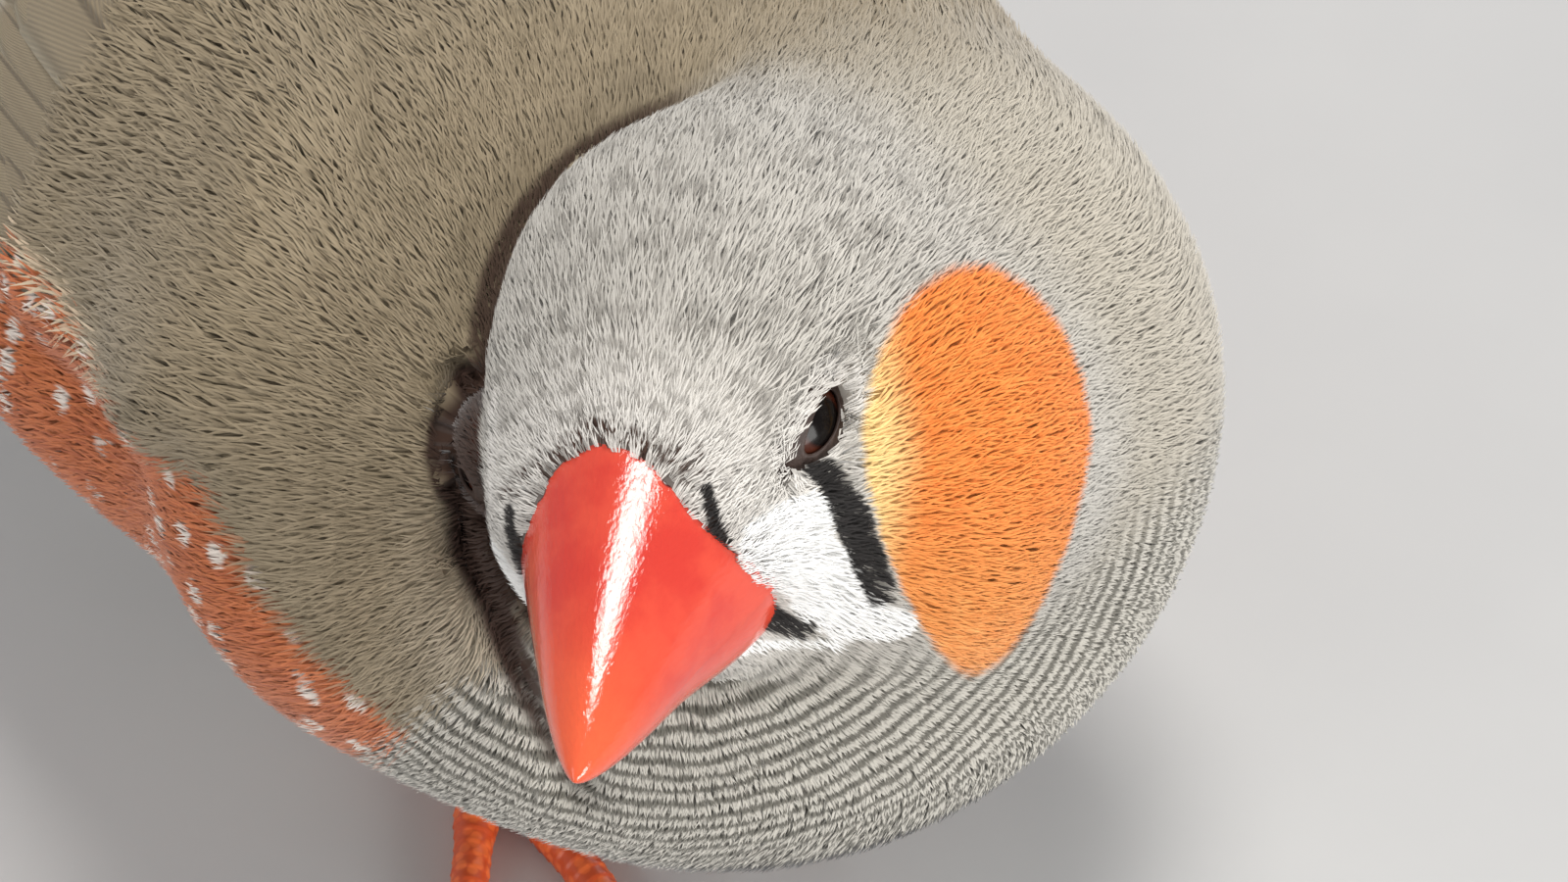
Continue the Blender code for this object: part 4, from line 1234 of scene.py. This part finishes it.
# %% [markdown]
# ## Eyes and lids
#
# The dozing bird's eye is a dark, wet slit. The ball is a sphere as large as a real
# finch's eye, with a reddish brown iris and a wide pupil, and it lies as deep in the
# head as in life. The lids are a ring of skin that hugs the ball: a circle of points
# is stretched to the slit, extruded outwards in steps, laid on the ball and thickened.

# %% Eye balls
LID_COLUMNS = 56
LID_STEPS = (1.0, 1.1, 1.3, 1.6, 2.1)
LID_CLEAR = 0.10
LID_THICKNESS = 0.14

eye_gloss, tree, shader = new_material(
    "wet eye", 0.16, Coat_Weight=0.06, Coat_Roughness=0.04, Specular_IOR_Level=0.12
)
gaze = split(tree, attribute(tree, "gaze"))
rays = noise(tree, attribute(tree, "gaze"), 30.0, 2.0)
iris = mix(tree, rays, colour(84, 40, 26), colour(56, 28, 20))
iris = mix(tree, ramp(tree, gaze[0], 46.0, 56.0), iris, colour(40, 28, 24))
eye_colour = mix(tree, ramp(tree, gaze[0], 19.0, 25.0), colour(14, 10, 9), iris)
tree.links.new(eye_colour, shader.inputs["Base Color"])


def add_eye(side, label):
    """An eye ball whose pole looks outwards."""
    deselect()
    bpy.ops.mesh.primitive_uv_sphere_add(segments=48, ring_count=32, radius=EYE_RADIUS)
    ball = bpy.context.object
    ball.name = ball.data.name = "eye_ball_" + label
    local = drawn_points(ball)
    angle = np.degrees(np.arccos(np.clip(local[:, 2] / EYE_RADIUS, -1.0, 1.0)))
    local *= (1.0 + 0.03 * (1.0 - smooth_step(angle, 0.0, 45.0)))[:, None] * 0.985
    lay_points(ball, eye_middle(side) + local @ lid_frame(side).T)
    turn = np.arctan2(local[:, 1], local[:, 0])
    write_vectors(ball.data, "gaze", np.stack([angle, np.cos(turn), np.sin(turn)], 1))
    ball.data.shade_smooth()
    finish_piece(ball, eye_gloss, "eye_gloss", "eye_" + label)


for side, label in SIDES:
    add_eye(side, label)
print("eyes are", EYE_RADIUS * 2, "mm wide")

# %% Lids
lid_skin, tree, shader = new_material("eyelid skin", 0.55, Specular_IOR_Level=0.4)
wrinkle = noise(tree, object_place(tree), 4200.0, 3.0)
tree.links.new(mix(tree, wrinkle, colour(40, 29, 25), colour(72, 53, 45)), shader.inputs["Base Color"])
add_relief(tree, shader, wrinkle, 0.4, 0.00008)


def add_lids(side, label):
    """The ring of both lids round the slit."""
    deselect()
    bpy.ops.mesh.primitive_circle_add(vertices=LID_COLUMNS, radius=1.0)
    lids = bpy.context.object
    lids.name = lids.data.name = "eyelids_" + label
    bpy.ops.object.mode_set(mode="EDIT")
    bpy.ops.mesh.select_all(action="SELECT")
    bpy.ops.transform.resize(value=(SLIT[0], SLIT[1], 1.0))
    for before, after in zip(LID_STEPS, LID_STEPS[1:]):
        bpy.ops.mesh.extrude_region_move()
        grow = after / before
        bpy.ops.transform.resize(value=(grow, grow, 1.0), center_override=(0.0, 0.0, 0.0))
    bpy.ops.object.mode_set(mode="OBJECT")
    flat = drawn_points(lids)
    radius = EYE_RADIUS + LID_CLEAR
    out = np.hypot(flat[:, 0], flat[:, 1])
    angle = np.minimum(out / radius, 1.45)
    scale = radius * np.sin(angle) / np.maximum(out, 1e-9)
    local = np.stack([flat[:, 0] * scale, flat[:, 1] * scale, radius * np.cos(angle)], 1)
    lay_points(lids, eye_middle(side) + local @ lid_frame(side).T)
    pick(lids)
    bpy.ops.object.mode_set(mode="EDIT")
    bpy.ops.mesh.select_all(action="SELECT")
    bpy.ops.mesh.normals_make_consistent(inside=False)
    bpy.ops.object.mode_set(mode="OBJECT")
    wall = lids.modifiers.new("wall", "SOLIDIFY")
    wall.thickness = LID_THICKNESS * MM
    wall.offset = 0.0
    bpy.ops.object.modifier_apply(modifier="wall")
    round_off = lids.modifiers.new("round", "SUBSURF")
    round_off.levels = round_off.render_levels = 1
    bpy.ops.object.modifier_apply(modifier="round")
    lids.data.shade_smooth()
    finish_piece(lids, lid_skin, "grey_plumage")
    return lids


for side, label in SIDES:
    print(add_lids(side, label).name, "is", round(2 * SLIT[0], 1), "mm long")

# %% [markdown]
# ## The bill
#
# The bill is a short, deep cone, waxy and red, a little more orange at its tip. A ring
# of points is extruded forwards step by step and made smaller at each, which gives the
# gently curved ridge. The cone is then cut along the mouth, once for each half, and the
# nostrils are sunk into the upper half.

# %% Rings of the bill
BILL_SIDES = 40
BILL_STEPS = 26
MOUTH_BACK = -2.5
MOUTH_FRONT = -3.6
MOUTH_GAP = 0.07
NOSTRIL = (7.1, 2.45, 2.9)
NOSTRIL_RADIUS = 0.3


def bill_girth(t):
    """The bill's half width and depth, as a share of those at its base."""
    return (1.0 - t) ** BILL_TAPER


deselect()
bpy.ops.mesh.primitive_circle_add(vertices=BILL_SIDES, radius=1.0, rotation=(0.0, math.pi / 2.0, 0.0))
cone = bpy.context.object
cone.name = "bill_whole"
bpy.ops.object.transform_apply(location=True, rotation=True, scale=True)
bpy.ops.object.mode_set(mode="EDIT")
bpy.ops.mesh.select_all(action="SELECT")
bpy.ops.transform.resize(value=(1.0, BILL_HALF_WIDTH, BILL_HALF_DEPTH), center_override=(0.0, 0.0, 0.0))
bpy.ops.mesh.edge_face_add()
bill_line = BILL_TIP - BILL_BASE
stops = 1.0 - np.linspace(1.0, 0.0, BILL_STEPS + 1) ** 1.6
stops[-1] = 0.9995
for before, after in zip(stops, stops[1:]):
    step = bill_line * (after - before)
    bpy.ops.mesh.extrude_region_move(TRANSFORM_OT_translate={"value": tuple(step)})
    grow = bill_girth(after) / bill_girth(before)
    bpy.ops.transform.resize(value=(1.0, grow, grow), center_override=tuple(bill_line * after))
bpy.ops.mesh.select_all(action="SELECT")
bpy.ops.mesh.normals_make_consistent(inside=False)
bpy.ops.object.mode_set(mode="OBJECT")
shape = drawn_points(cone)
ahead = np.clip(shape[:, 0] / bill_line[0], 0.0, 1.0)
turn = np.arctan2(shape[:, 2] - bill_line[2] * ahead, shape[:, 1])
ridge = np.exp(-np.square((turn - math.pi / 2.0) / 0.35)) * (1.0 - ahead) * 0.22
shape[:, 2] += ridge
waist = np.abs(np.cos(turn)) * np.sin(np.pi * np.clip(ahead, 0.0, 1.0)) * 0.12
shape[:, 1] *= 1.0 - waist * 0.35
corner = np.sin(2.0 * turn) ** 2 * (np.sin(turn) < 0.0) * (1.0 - smooth_step(ahead, 0.05, 0.5)) * 0.13
shape[:, 1] *= 1.0 + corner
shape[:, 2] += (shape[:, 2] - bill_line[2] * ahead) * corner
cone.data.vertices.foreach_set("co", (shape + BILL_BASE).ravel())
print("bill cone has", len(cone.data.vertices), "points")

# %% Upper and lower half
bill_horn, tree, shader = new_material(
    "bill horn", 0.26, Coat_Weight=0.35, Coat_Roughness=0.12, Subsurface_Weight=0.12
)
shader.inputs["Subsurface Radius"].default_value = (0.0012, 0.0004, 0.0003)
shader.inputs["Subsurface Scale"].default_value = 1.0
place = attribute(tree, "face")
parts = split(tree, place)
cloud = noise(tree, place, 0.5, 4.0)
streaks = noise(tree, vector_maths(tree, "MULTIPLY", place, (0.25, 3.5, 3.5)), 1.6, 3.0)
red = mix(tree, ramp(tree, cloud, 0.35, 0.65), colour(202, 56, 42), colour(214, 74, 52))
red = mix(tree, ramp(tree, parts[0], 10.5, 16.5), red, colour(228, 96, 56))
red = mix(tree, times(tree, fall(tree, parts[2], -4.2, -2.4), 0.6), red, colour(224, 72, 38))
red = mix(tree, times(tree, streaks, 0.16), red, colour(170, 34, 34))
# Painted shade: the nostrils' pits and rims are painted a dark red brown.
sunk = vector_maths(tree, "DISTANCE", vector_maths(tree, "ABSOLUTE", place), NOSTRIL)
red = mix(tree, ramp(tree, sunk, 0.32, 0.42), colour(70, 16, 14), red)
tree.links.new(red, shader.inputs["Base Color"])
tree.links.new(ramp(tree, streaks, 0.0, 3.4), shader.inputs["Roughness"])
add_relief(tree, shader, streaks, 0.15, 0.0002)


def cut_half(name, way):
    """A copy of the bill with what lies beyond the mouth's plane cut off and closed."""
    half = cone.copy()
    half.data = cone.data.copy()
    half.name = half.data.name = name
    bpy.context.scene.collection.objects.link(half)
    back = np.array((BILL_BASE[0], 0.0, MOUTH_BACK))
    front = np.array((BILL_TIP[0], 0.0, MOUTH_FRONT))
    rise = np.cross(unit(front - back), (0.0, 1.0, 0.0)) * -way
    rise = rise if rise[2] * way > 0 else -rise
    pick(half)
    bpy.ops.object.mode_set(mode="EDIT")
    bpy.ops.mesh.select_all(action="SELECT")
    middle = (back + front) / 2.0 + rise * MOUTH_GAP / 2.0
    bpy.ops.mesh.bisect(plane_co=tuple(middle), plane_no=tuple(rise), use_fill=True, clear_inner=True)
    bpy.ops.object.mode_set(mode="OBJECT")
    return half


upper, lower = cut_half("bill_upper_horn", 1.0), cut_half("bill_lower_horn", -1.0)
bpy.data.objects.remove(cone)
for side in (1.0, -1.0):
    deselect()
    middle = np.array(NOSTRIL) * (1.0, side, 1.0)
    bpy.ops.mesh.primitive_ico_sphere_add(subdivisions=3, radius=NOSTRIL_RADIUS, location=middle)
    hole = bpy.context.object
    pick(upper)
    cut = upper.modifiers.new("nostril", "BOOLEAN")
    cut.operation, cut.object, cut.solver = "DIFFERENCE", hole, "EXACT"
    bpy.ops.object.modifier_apply(modifier="nostril")
    bpy.data.objects.remove(hole)
for half, node in ((upper, "bill_upper"), (lower, "bill_lower")):
    local = drawn_points(half)
    if half is lower:
        local[:, 1] *= 0.97
    lay_points(half, on_head(local))
    write_vectors(half.data, "face", local)
    pick(half)
    bpy.ops.object.shade_smooth_by_angle(angle=math.radians(50.0))
    finish_piece(half, bill_horn, "bill_horn", node)
    print(half.name, len(half.data.polygons), "faces")

# %% [markdown]
# ## Wing and tail feathers
#
# A flight feather is a thin vane, bowed across its width, with a pale edge and a dark
# shaft. Each one is a grid of points with a top and an underside. In the wing they are
# wrapped over the body in rows: primaries, secondaries, tertials and two rows of
# coverts, each row over the one behind it, each feather's lower edge over its neighbour.

# %% A vane as arrays
VANE_ROWS = 15
VANE_COLUMNS = 7
VANE_THICKNESS = 0.12
FEATHER_OUTLINE = ((0.0, 0.55), (0.2, 0.9), (0.5, 1.0), (0.75, 0.96), (0.88, 0.8), (0.96, 0.5), (1.0, 0.16))
WING_BED = 0.5
WING_CORE = 0.9
ENVELOPE = ((-20.0, 0.0), (8.0, 11.0), (20.0, 10.6), (30.0, 9.0), (44.0, 5.4), (52.0, 4.0))


def wing_place(side, along, angle, rise):
    """Points over the flank at a height above the wing's bed."""
    shape = np.broadcast(along, angle, rise).shape
    along, angle, rise = (np.broadcast_to(a, shape).ravel() for a in (along, angle, rise))
    turn = np.radians(angle)
    spokes = np.stack([np.cos(turn) * side, np.zeros_like(turn), np.sin(turn)], 1) @ TRUNK_AXES.T
    hubs = on_trunk(np.stack([np.zeros_like(along), along, np.zeros_like(along)], 1))
    near, far = np.zeros(len(along)), np.full(len(along), 60.0)
    for _ in range(30):
        middle = (near + far) / 2.0
        inside = trunk_field(hubs + spokes * middle[:, None]) < WING_BED
        near, far = np.where(inside, middle, near), np.where(inside, far, middle)
    bed = np.where(trunk_field(hubs) < 0.0, near, 0.0)
    bed = -soft_min(-bed, -table(ENVELOPE, along), 1.5)
    return (hubs + spokes * (bed + rise)[:, None]).reshape(*shape, 3)


def sheet_faces(rows, columns):
    """Triangles of a closed thin grid: top, underside and rim."""
    number = np.arange(rows * columns).reshape(rows, columns)
    a, b, c, d = number[:-1, :-1], number[:-1, 1:], number[1:, 1:], number[1:, :-1]
    top = np.stack([a, b, c, a, c, d], -1).reshape(-1, 3)
    rim = np.concatenate([number[0, :-1], number[:-1, -1], number[-1, :0:-1], number[:0:-1, 0]])
    after = np.roll(rim, -1)
    under = rows * columns
    walls = np.stack([rim, rim + under, after + under, rim, after + under, after], -1).reshape(-1, 3)
    return np.concatenate([top, top[:, ::-1] + under, walls])


SHEET = sheet_faces(VANE_ROWS, VANE_COLUMNS)
VANE_T, VANE_S = np.meshgrid(
    np.linspace(0.0, 1.0, VANE_ROWS), np.linspace(-1.0, 1.0, VANE_COLUMNS), indexing="ij"
)


class Plume:
    """Vanes that are gathered into one mesh."""

    def __init__(self, name):
        self.name, self.corners, self.faces, self.values, self.kinds = name, [], [], [], []

    def add(self, top, under, kind, tone):
        """One vane from the points of its two sides."""
        start = sum(len(c) for c in self.corners)
        both = np.concatenate([top.reshape(-1, 3), under.reshape(-1, 3)])
        faces = SHEET + start
        a, b, c = (both[SHEET[:40, i]] for i in range(3))
        if np.sum(np.cross(b - a, c - a) * (top - under).reshape(-1, 3)[SHEET[:40, 0]]) < 0.0:
            faces = faces[:, ::-1]
        self.corners.append(both)
        self.faces.append(faces)
        st = np.stack([VANE_S, VANE_T, np.full_like(VANE_S, tone)], -1).reshape(-1, 3)
        self.values.append(np.concatenate([st, st]))
        self.kinds.append(np.tile((*kind, tone), (len(both), 1)))

    def build(self, material, slot, node):
        """The piece, with a patch of the baking map for each vane."""
        corners, faces, values = (np.concatenate(a) for a in (self.corners, self.faces, self.values))
        cells = int(np.ceil(np.sqrt(len(self.corners))))
        number = np.repeat(np.arange(len(self.corners)), [len(c) for c in self.corners])
        cell = np.stack([number % cells, number // cells], 1)
        patch = (cell + 0.08 + 0.84 * np.stack([values[:, 0] * 0.5 + 0.5, values[:, 1]], 1)) / cells
        piece = mesh_from(self.name, corners, faces, patch)
        write_vectors(piece.data, "vane", values)
        write_vectors(piece.data, "kind", np.concatenate(self.kinds))
        finish_piece(piece, material, slot, node)
        print(piece.name, len(self.corners), "vanes,", len(faces), "triangles")


# %% Material of the vanes
vane_horn, tree, shader = new_material("vane", 0.55, Sheen_Weight=0.15, Specular_IOR_Level=0.35)
vane, kind = (split(tree, attribute(tree, name)) for name in ("vane", "kind"))
across = maths(tree, "ABSOLUTE", vane[0])
barbs = maths(tree, "MULTIPLY_ADD", across, -14.0, times(tree, vane[1], 46.0))
wave = maths(tree, "SINE", times(tree, barbs, math.tau))
cloud = noise(tree, attribute(tree, "vane"), 3.0, 4.0)
brown = mix(tree, cloud, colour(128, 114, 92), colour(158, 144, 118))
brown = mix(tree, times(tree, kind[2], 0.35), brown, colour(98, 88, 72))
edge = maths(tree, "MAXIMUM", ramp(tree, across, 0.82, 0.98), ramp(tree, vane[1], 0.95, 1.0))
brown = mix(tree, times(tree, edge, 0.5), brown, colour(194, 182, 156))
black = mix(tree, cloud, colour(24, 22, 22), colour(50, 46, 44))
bars = maths(tree, "MULTIPLY_ADD", vane[1], 15.5, times(tree, across, 2.2))
bars = ramp(tree, maths(tree, "SINE", bars), -0.1, 0.15)
barred = mix(tree, bars, colour(28, 26, 26), colour(240, 236, 228))
base = mix(tree, kind[0], brown, black)
base = mix(tree, kind[1], base, barred)
base = mix(tree, times(tree, kind[1], -1.0), base, colour(238, 232, 222))
base = mix(tree, times(tree, fall(tree, across, 0.03, 0.09), 0.5), base, colour(60, 50, 40))
base = mix(tree, maths(tree, "MULTIPLY_ADD", wave, 0.06, 0.06), base, colour(40, 34, 28))
tree.links.new(base, shader.inputs["Base Color"])
add_relief(tree, shader, wave, 0.35, 0.00006)
print("vane material has", len(tree.nodes), "nodes")

# %% Rows of the folded wing
WING_ROWS = (
    ("primary", 7, (12.0, 40.0), (-0.7, -3.4), (45.0, 66.0), (-2.0, -3.2), 0.0, 4.4, (-0.3, -0.2, 0.0)),
    ("secondary", 7, (4.0, 46.0), (0.0, -4.9), (31.0, 57.0), (-2.0, -5.3), 0.0, 4.6, (-0.3, 0.0, 0.25)),
    ("tertial", 3, (4.0, 61.0), (-1.5, -8.0), (34.0, 76.0), (-4.5, -9.0), 0.0, 6.6, (-0.3, 0.1, 0.5)),
    ("greater_covert", 9, (-1.0, 57.0), (0.0, -5.2), (12.0, 61.0), (0.0, -5.4), 0.35, 3.5, (-0.9, -0.5, 0.25)),
    ("median_covert", 9, (-7.0, 54.0), (0.0, -4.7), (4.5, 57.0), (0.0, -5.0), 0.3, 3.4, (-1.1, -0.9, -0.4)),
)
ARC = 16.0
CAMBER = 0.22
OVERLAP = 0.16


def wing_sheet(side, root, tip, width, rise):
    """The two sides of a vane that is wrapped over the wing."""
    run = np.array([tip[0] - root[0], math.radians(tip[1] - root[1]) * ARC])
    normal = np.array([-run[1], run[0]]) / np.linalg.norm(run)
    half = width / 2.0 * table(FEATHER_OUTLINE, VANE_T)
    along = root[0] + (tip[0] - root[0]) * VANE_T + normal[0] * VANE_S * half
    angle = root[1] + (tip[1] - root[1]) * VANE_T + np.degrees(normal[1] * VANE_S * half / ARC)
    height = WING_CORE + np.interp(VANE_T, (0.0, 0.25, 1.0), rise)
    height = height - CAMBER * VANE_S**2 * np.minimum(half, 2.0) / 2.0 - OVERLAP * VANE_S
    return wing_place(side, along, angle, height), wing_place(side, along, angle, height - VANE_THICKNESS)


def add_wing(side, label):
    """All vanes of one folded wing over a plain web."""
    wing = Plume("wing_feathers_" + label)
    along = -8.0 + 34.0 * VANE_T
    low, high = table(WING_LOWER_EDGE, along) + 2.0, table(WING_UPPER_EDGE, along)
    angle = low + (high - low) * (VANE_S * 0.5 + 0.5)
    wing.add(wing_place(side, along, angle, 0.55), wing_place(side, along, angle, 0.1), (0.0, 0.0), 0.6)
    for name, count, root, root_step, tip, tip_step, bow, width, rise in WING_ROWS:
        for i in reversed(range(count)):
            back = abs(i - (count - 1) / 2.0) * bow
            first = (root[0] + root_step[0] * i + back / 2.0, root[1] + root_step[1] * i)
            last = (tip[0] + tip_step[0] * i - back, tip[1] + tip_step[1] * i)
            tone = random.uniform(0.0, 0.5) + 0.5 * (name == "primary")
            wing.add(*wing_sheet(side, first, last, width, rise), (0.0, 0.0), tone)
    wing.build(vane_horn, "brown_plumage", "wing_" + label)


for side, label in SIDES:
    add_wing(side, label)

# %% [markdown]
# The tail is a closed fan of twelve black feathers. Above it lie the long coverts that
# give the finch its name, black with broad white bars, and below it short white ones.

# %% Tail
TAIL_DROOP = math.radians(9.0)
TAIL_LENGTH = 33.0
TAIL_ROOT = np.array((0.0, 31.7, 1.6))
TAIL_PAIRS = 6
TAIL_FEATHER_WIDTH = 6.0
TAIL_OUTLINE = ((0.0, 0.5), (0.4, 0.88), (0.75, 1.0), (0.92, 0.86), (1.0, 0.42))
TAIL_PAIR_STEP = 0.7
TAIL_LAYER = 0.34
TAIL_SAG = 0.018
TAIL_TILT = 0.12
UPPER_COVERTS = ((16.5, 3.8, 7, 2.2, -2.0), (12.0, 3.0, 6, 3.0, -1.0), (8.0, 2.2, 5, 3.8, 0.3))
LOWER_COVERTS = ((9.0, 3.4, 5, -5.2, -5.4), (14.0, 2.6, 5, -4.0, -5.6))
BLACK, BARRED, WHITE = (1.0, 0.0), (1.0, 1.0), (0.0, -1.0)


def straight_sheet(start, stop, sag, width, tilt, outline):
    """The two sides of a vane along a line in the trunk's axes, with a sag."""
    start, stop = np.array(start), np.array(stop)
    spine = start + (stop - start) * VANE_T[..., None]
    half = width / 2.0 * table(outline, VANE_T)
    length = np.linalg.norm(stop - start)
    lift = tilt * VANE_S - CAMBER * VANE_S**2 - sag * length * VANE_T**2
    spine = spine + np.stack([VANE_S * half, np.zeros_like(half), lift], -1)
    top = on_trunk(spine)
    return top, top - TRUNK_AXES[:, 2] * VANE_THICKNESS


def leans(count):
    """Places across a row of vanes, from -1 on one side to 1 on the other."""
    return [2.0 * i / (count - 1) - 1.0 for i in range(count)]


tail = Plume("tail_feathers")
for pair in reversed(range(TAIL_PAIRS)):
    for side in (-1.0, 1.0):
        length = TAIL_LENGTH - pair * TAIL_PAIR_STEP
        run, drop = length * math.cos(TAIL_DROOP), length * math.sin(TAIL_DROOP)
        sink = TAIL_LAYER * (pair + (0.5 if side < 0 else 0.0))
        first = TAIL_ROOT + (side * (0.8 + pair * 0.25), 0.0, -sink)
        last = TAIL_ROOT + (side * (0.8 + pair), run, -drop - sink)
        sheet = straight_sheet(first, last, TAIL_SAG, TAIL_FEATHER_WIDTH, TAIL_TILT * -side, TAIL_OUTLINE)
        tail.add(*sheet, BLACK, random.random())
for length, half, count, high, low in UPPER_COVERTS:
    for lean in leans(count):
        first = TAIL_ROOT + (lean * half * 0.8, -1.2, high - abs(lean) * 0.8)
        last = TAIL_ROOT + (lean * half * 1.1, length - abs(lean) * 2.0, low - abs(lean) * 0.3)
        sheet = straight_sheet(first, last, 0.0, 3.6, 0.1 * lean, FEATHER_OUTLINE)
        tail.add(*sheet, BARRED, random.random())
for length, half, count, high, low in LOWER_COVERTS:
    for lean in leans(count):
        first = TAIL_ROOT + (lean * half, -5.0, high + abs(lean) * 1.5)
        last = TAIL_ROOT + (lean * half * 0.9, length - 5.0, low + abs(lean) * 0.8)
        tail.add(*straight_sheet(first, last, 0.0, 4.2, 0.0, FEATHER_OUTLINE), WHITE, 0.1)
tail.build(vane_horn, "tail_plumage", "tail")

# %% [markdown]
# ## Legs
#
# The scaly shank and the toes are tubes along their bones. Their girth swells a little
# at every scale, so the rings of scales are real shape. The claws are separate,
# darker and pointed.

# %% Leg skin and claws
HEEL = (6.0, 4.4, 10.4)
TOE_JOINT = (3.7, -4.8, 2.0)
SHANK_RADII = (1.3, 0.98, 0.84, 0.84, 1.05)
TOES = (
    ("middle", -6.0, 11.0, 0.95),
    ("inner", 14.0, 8.2, 0.88),
    ("outer", -40.0, 8.8, 0.88),
    ("hind", 180.0, 7.2, 0.98),
)
TOE_STOPS = (0.0, 0.16, 0.42, 0.70, 0.96)
TOE_DROP = (0.0, -1.05, -1.32, -1.32, -1.32)
TOE_GIRTH = (1.1, 0.95, 1.0, 0.92, 0.72)
CLAW_LENGTH = 3.0
SCALE_LENGTH = 0.62
SCALE_RISE = 0.07
TUBE_ROUNDNESS = 4

leg_skin, tree, shader = new_material(
    "leg skin", 0.42, Coat_Weight=0.15, Coat_Roughness=0.3, Subsurface_Weight=0.1
)
shader.inputs["Subsurface Radius"].default_value = (0.001, 0.0004, 0.0002)
coordinates = object_place(tree)
cells = add_node(tree, "ShaderNodeTexVoronoi", {"Vector": coordinates, "Scale": 1900.0}).outputs["Distance"]
orange = mix(tree, noise(tree, coordinates, 500.0, 4.0), colour(226, 96, 44), colour(240, 122, 62))
orange = mix(tree, ramp(tree, cells, 0.35, 0.6), orange, colour(206, 82, 38))
tree.links.new(orange, shader.inputs["Base Color"])
add_relief(tree, shader, cells, 0.3, 0.0001)
claw_horn, tree, shader = new_material("claw horn", 0.35)
cloud = noise(tree, object_place(tree), 900.0, 3.0)
tree.links.new(mix(tree, cloud, colour(84, 58, 44), colour(150, 104, 74)), shader.inputs["Base Color"])


def tube(name, points, radii):
    """A round tube along points, drawn as a curve and turned into a mesh."""
    curve = bpy.data.curves.new(name, "CURVE")
    curve.dimensions = "3D"
    curve.bevel_depth = MM
    curve.bevel_resolution = TUBE_ROUNDNESS
    curve.use_fill_caps = True
    spline = curve.splines.new("POLY")
    spline.points.add(len(points) - 1)
    for point, place, radius in zip(spline.points, in_row(points), radii):
        point.co = (*place, 1.0)
        point.radius = radius
    drawn = bpy.data.objects.new(name, curve)
    bpy.context.scene.collection.objects.link(drawn)
    pick(drawn)
    bpy.ops.object.convert(target="MESH")
    return bpy.context.object


def along_line(knots, radii, step=0.09):
    """Points close together on a line through knots, with the girth between them."""
    knots = np.array(knots)
    lengths = np.concatenate([[0.0], np.cumsum(np.linalg.norm(np.diff(knots, axis=0), axis=1))])
    at = np.arange(0.0, lengths[-1], step)
    soft = np.stack([np.interp(at, lengths, knots[:, i]) for i in range(3)], 1)
    kernel = np.ones(9) / 9.0
    padded = np.pad(soft, ((4, 4), (0, 0)), mode="edge")
    soft = np.stack([np.convolve(padded[:, i], kernel, mode="valid") for i in range(3)], 1)
    return soft, np.interp(at, lengths, radii), at


def scaled(radii, at):
    """Radii that swell towards the end of every scale."""
    share = (at / SCALE_LENGTH) % 1.0
    return radii * (1.0 + SCALE_RISE * (share**2 - 0.4))


def join(name, pieces):
    """Pieces joined under a name, with what would be below the floor pressed flat."""
    pick(*pieces)
    bpy.ops.object.join()
    made = bpy.context.object
    made.name = made.data.name = name
    for v in made.data.vertices:
        v.co.z = max(v.co.z, 0.0)
    made.data.shade_smooth()
    return made


def add_leg(side, label):
    """Shank and toes of one leg, and its claws."""
    mirror = np.array((side, 1.0, 1.0))
    heel, joint = np.array(HEEL) * mirror, np.array(TOE_JOINT) * mirror
    knots = [heel + (joint - heel) * s for s in np.linspace(0.0, 1.0, len(SHANK_RADII))]
    places, radii, at = along_line(knots, SHANK_RADII)
    limbs, claws = [tube("shank", places, scaled(radii, at))], []
    for name, heading, length, radius in TOES:
        turn = math.radians(heading) * side
        way = np.array([-math.sin(turn), -math.cos(turn), 0.0])
        lift = np.array([0.0, 0.0, 1.0])
        knots = [joint + way * length * r + lift * h for r, h in zip(TOE_STOPS, TOE_DROP)]
        places, radii, at = along_line(knots, [radius * g for g in TOE_GIRTH])
        pads = 1.0 + 0.06 * np.sin(at / length * math.tau * 2.5)
        limbs.append(tube(name, places, scaled(radii, at) * pads))
        end = joint + way * length * 0.93 + lift * (TOE_DROP[-1] + 0.12)
        t = np.linspace(0.0, 1.0, 9)[:, None]
        hook = end + way * CLAW_LENGTH * t + lift * (0.75 * np.sin(t * 2.4) - 0.62 * t)
        claws.append(tube(name, hook, np.interp(t[:, 0], (0.0, 0.4, 1.0), (0.5, 0.38, 0.07))))
    deselect()
    bpy.ops.mesh.primitive_uv_sphere_add(segments=24, ring_count=16, radius=1.0)
    ankle = bpy.context.object
    lay_points(ankle, drawn_points(ankle) * (1.3, 1.5, 1.1) + joint - (0.0, 0.0, 0.35))
    leg = join("leg_" + label, [*limbs, ankle])
    finish_piece(leg, leg_skin, "leg_skin", "tarsus_" + label, "foot_" + label)
    finish_piece(join("claws_" + label, claws), claw_horn, "leg_skin")
    return len(leg.data.polygons)


for side, label in SIDES:
    print("leg", label, add_leg(side, label), "faces")

# %% Size and finish
low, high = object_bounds()
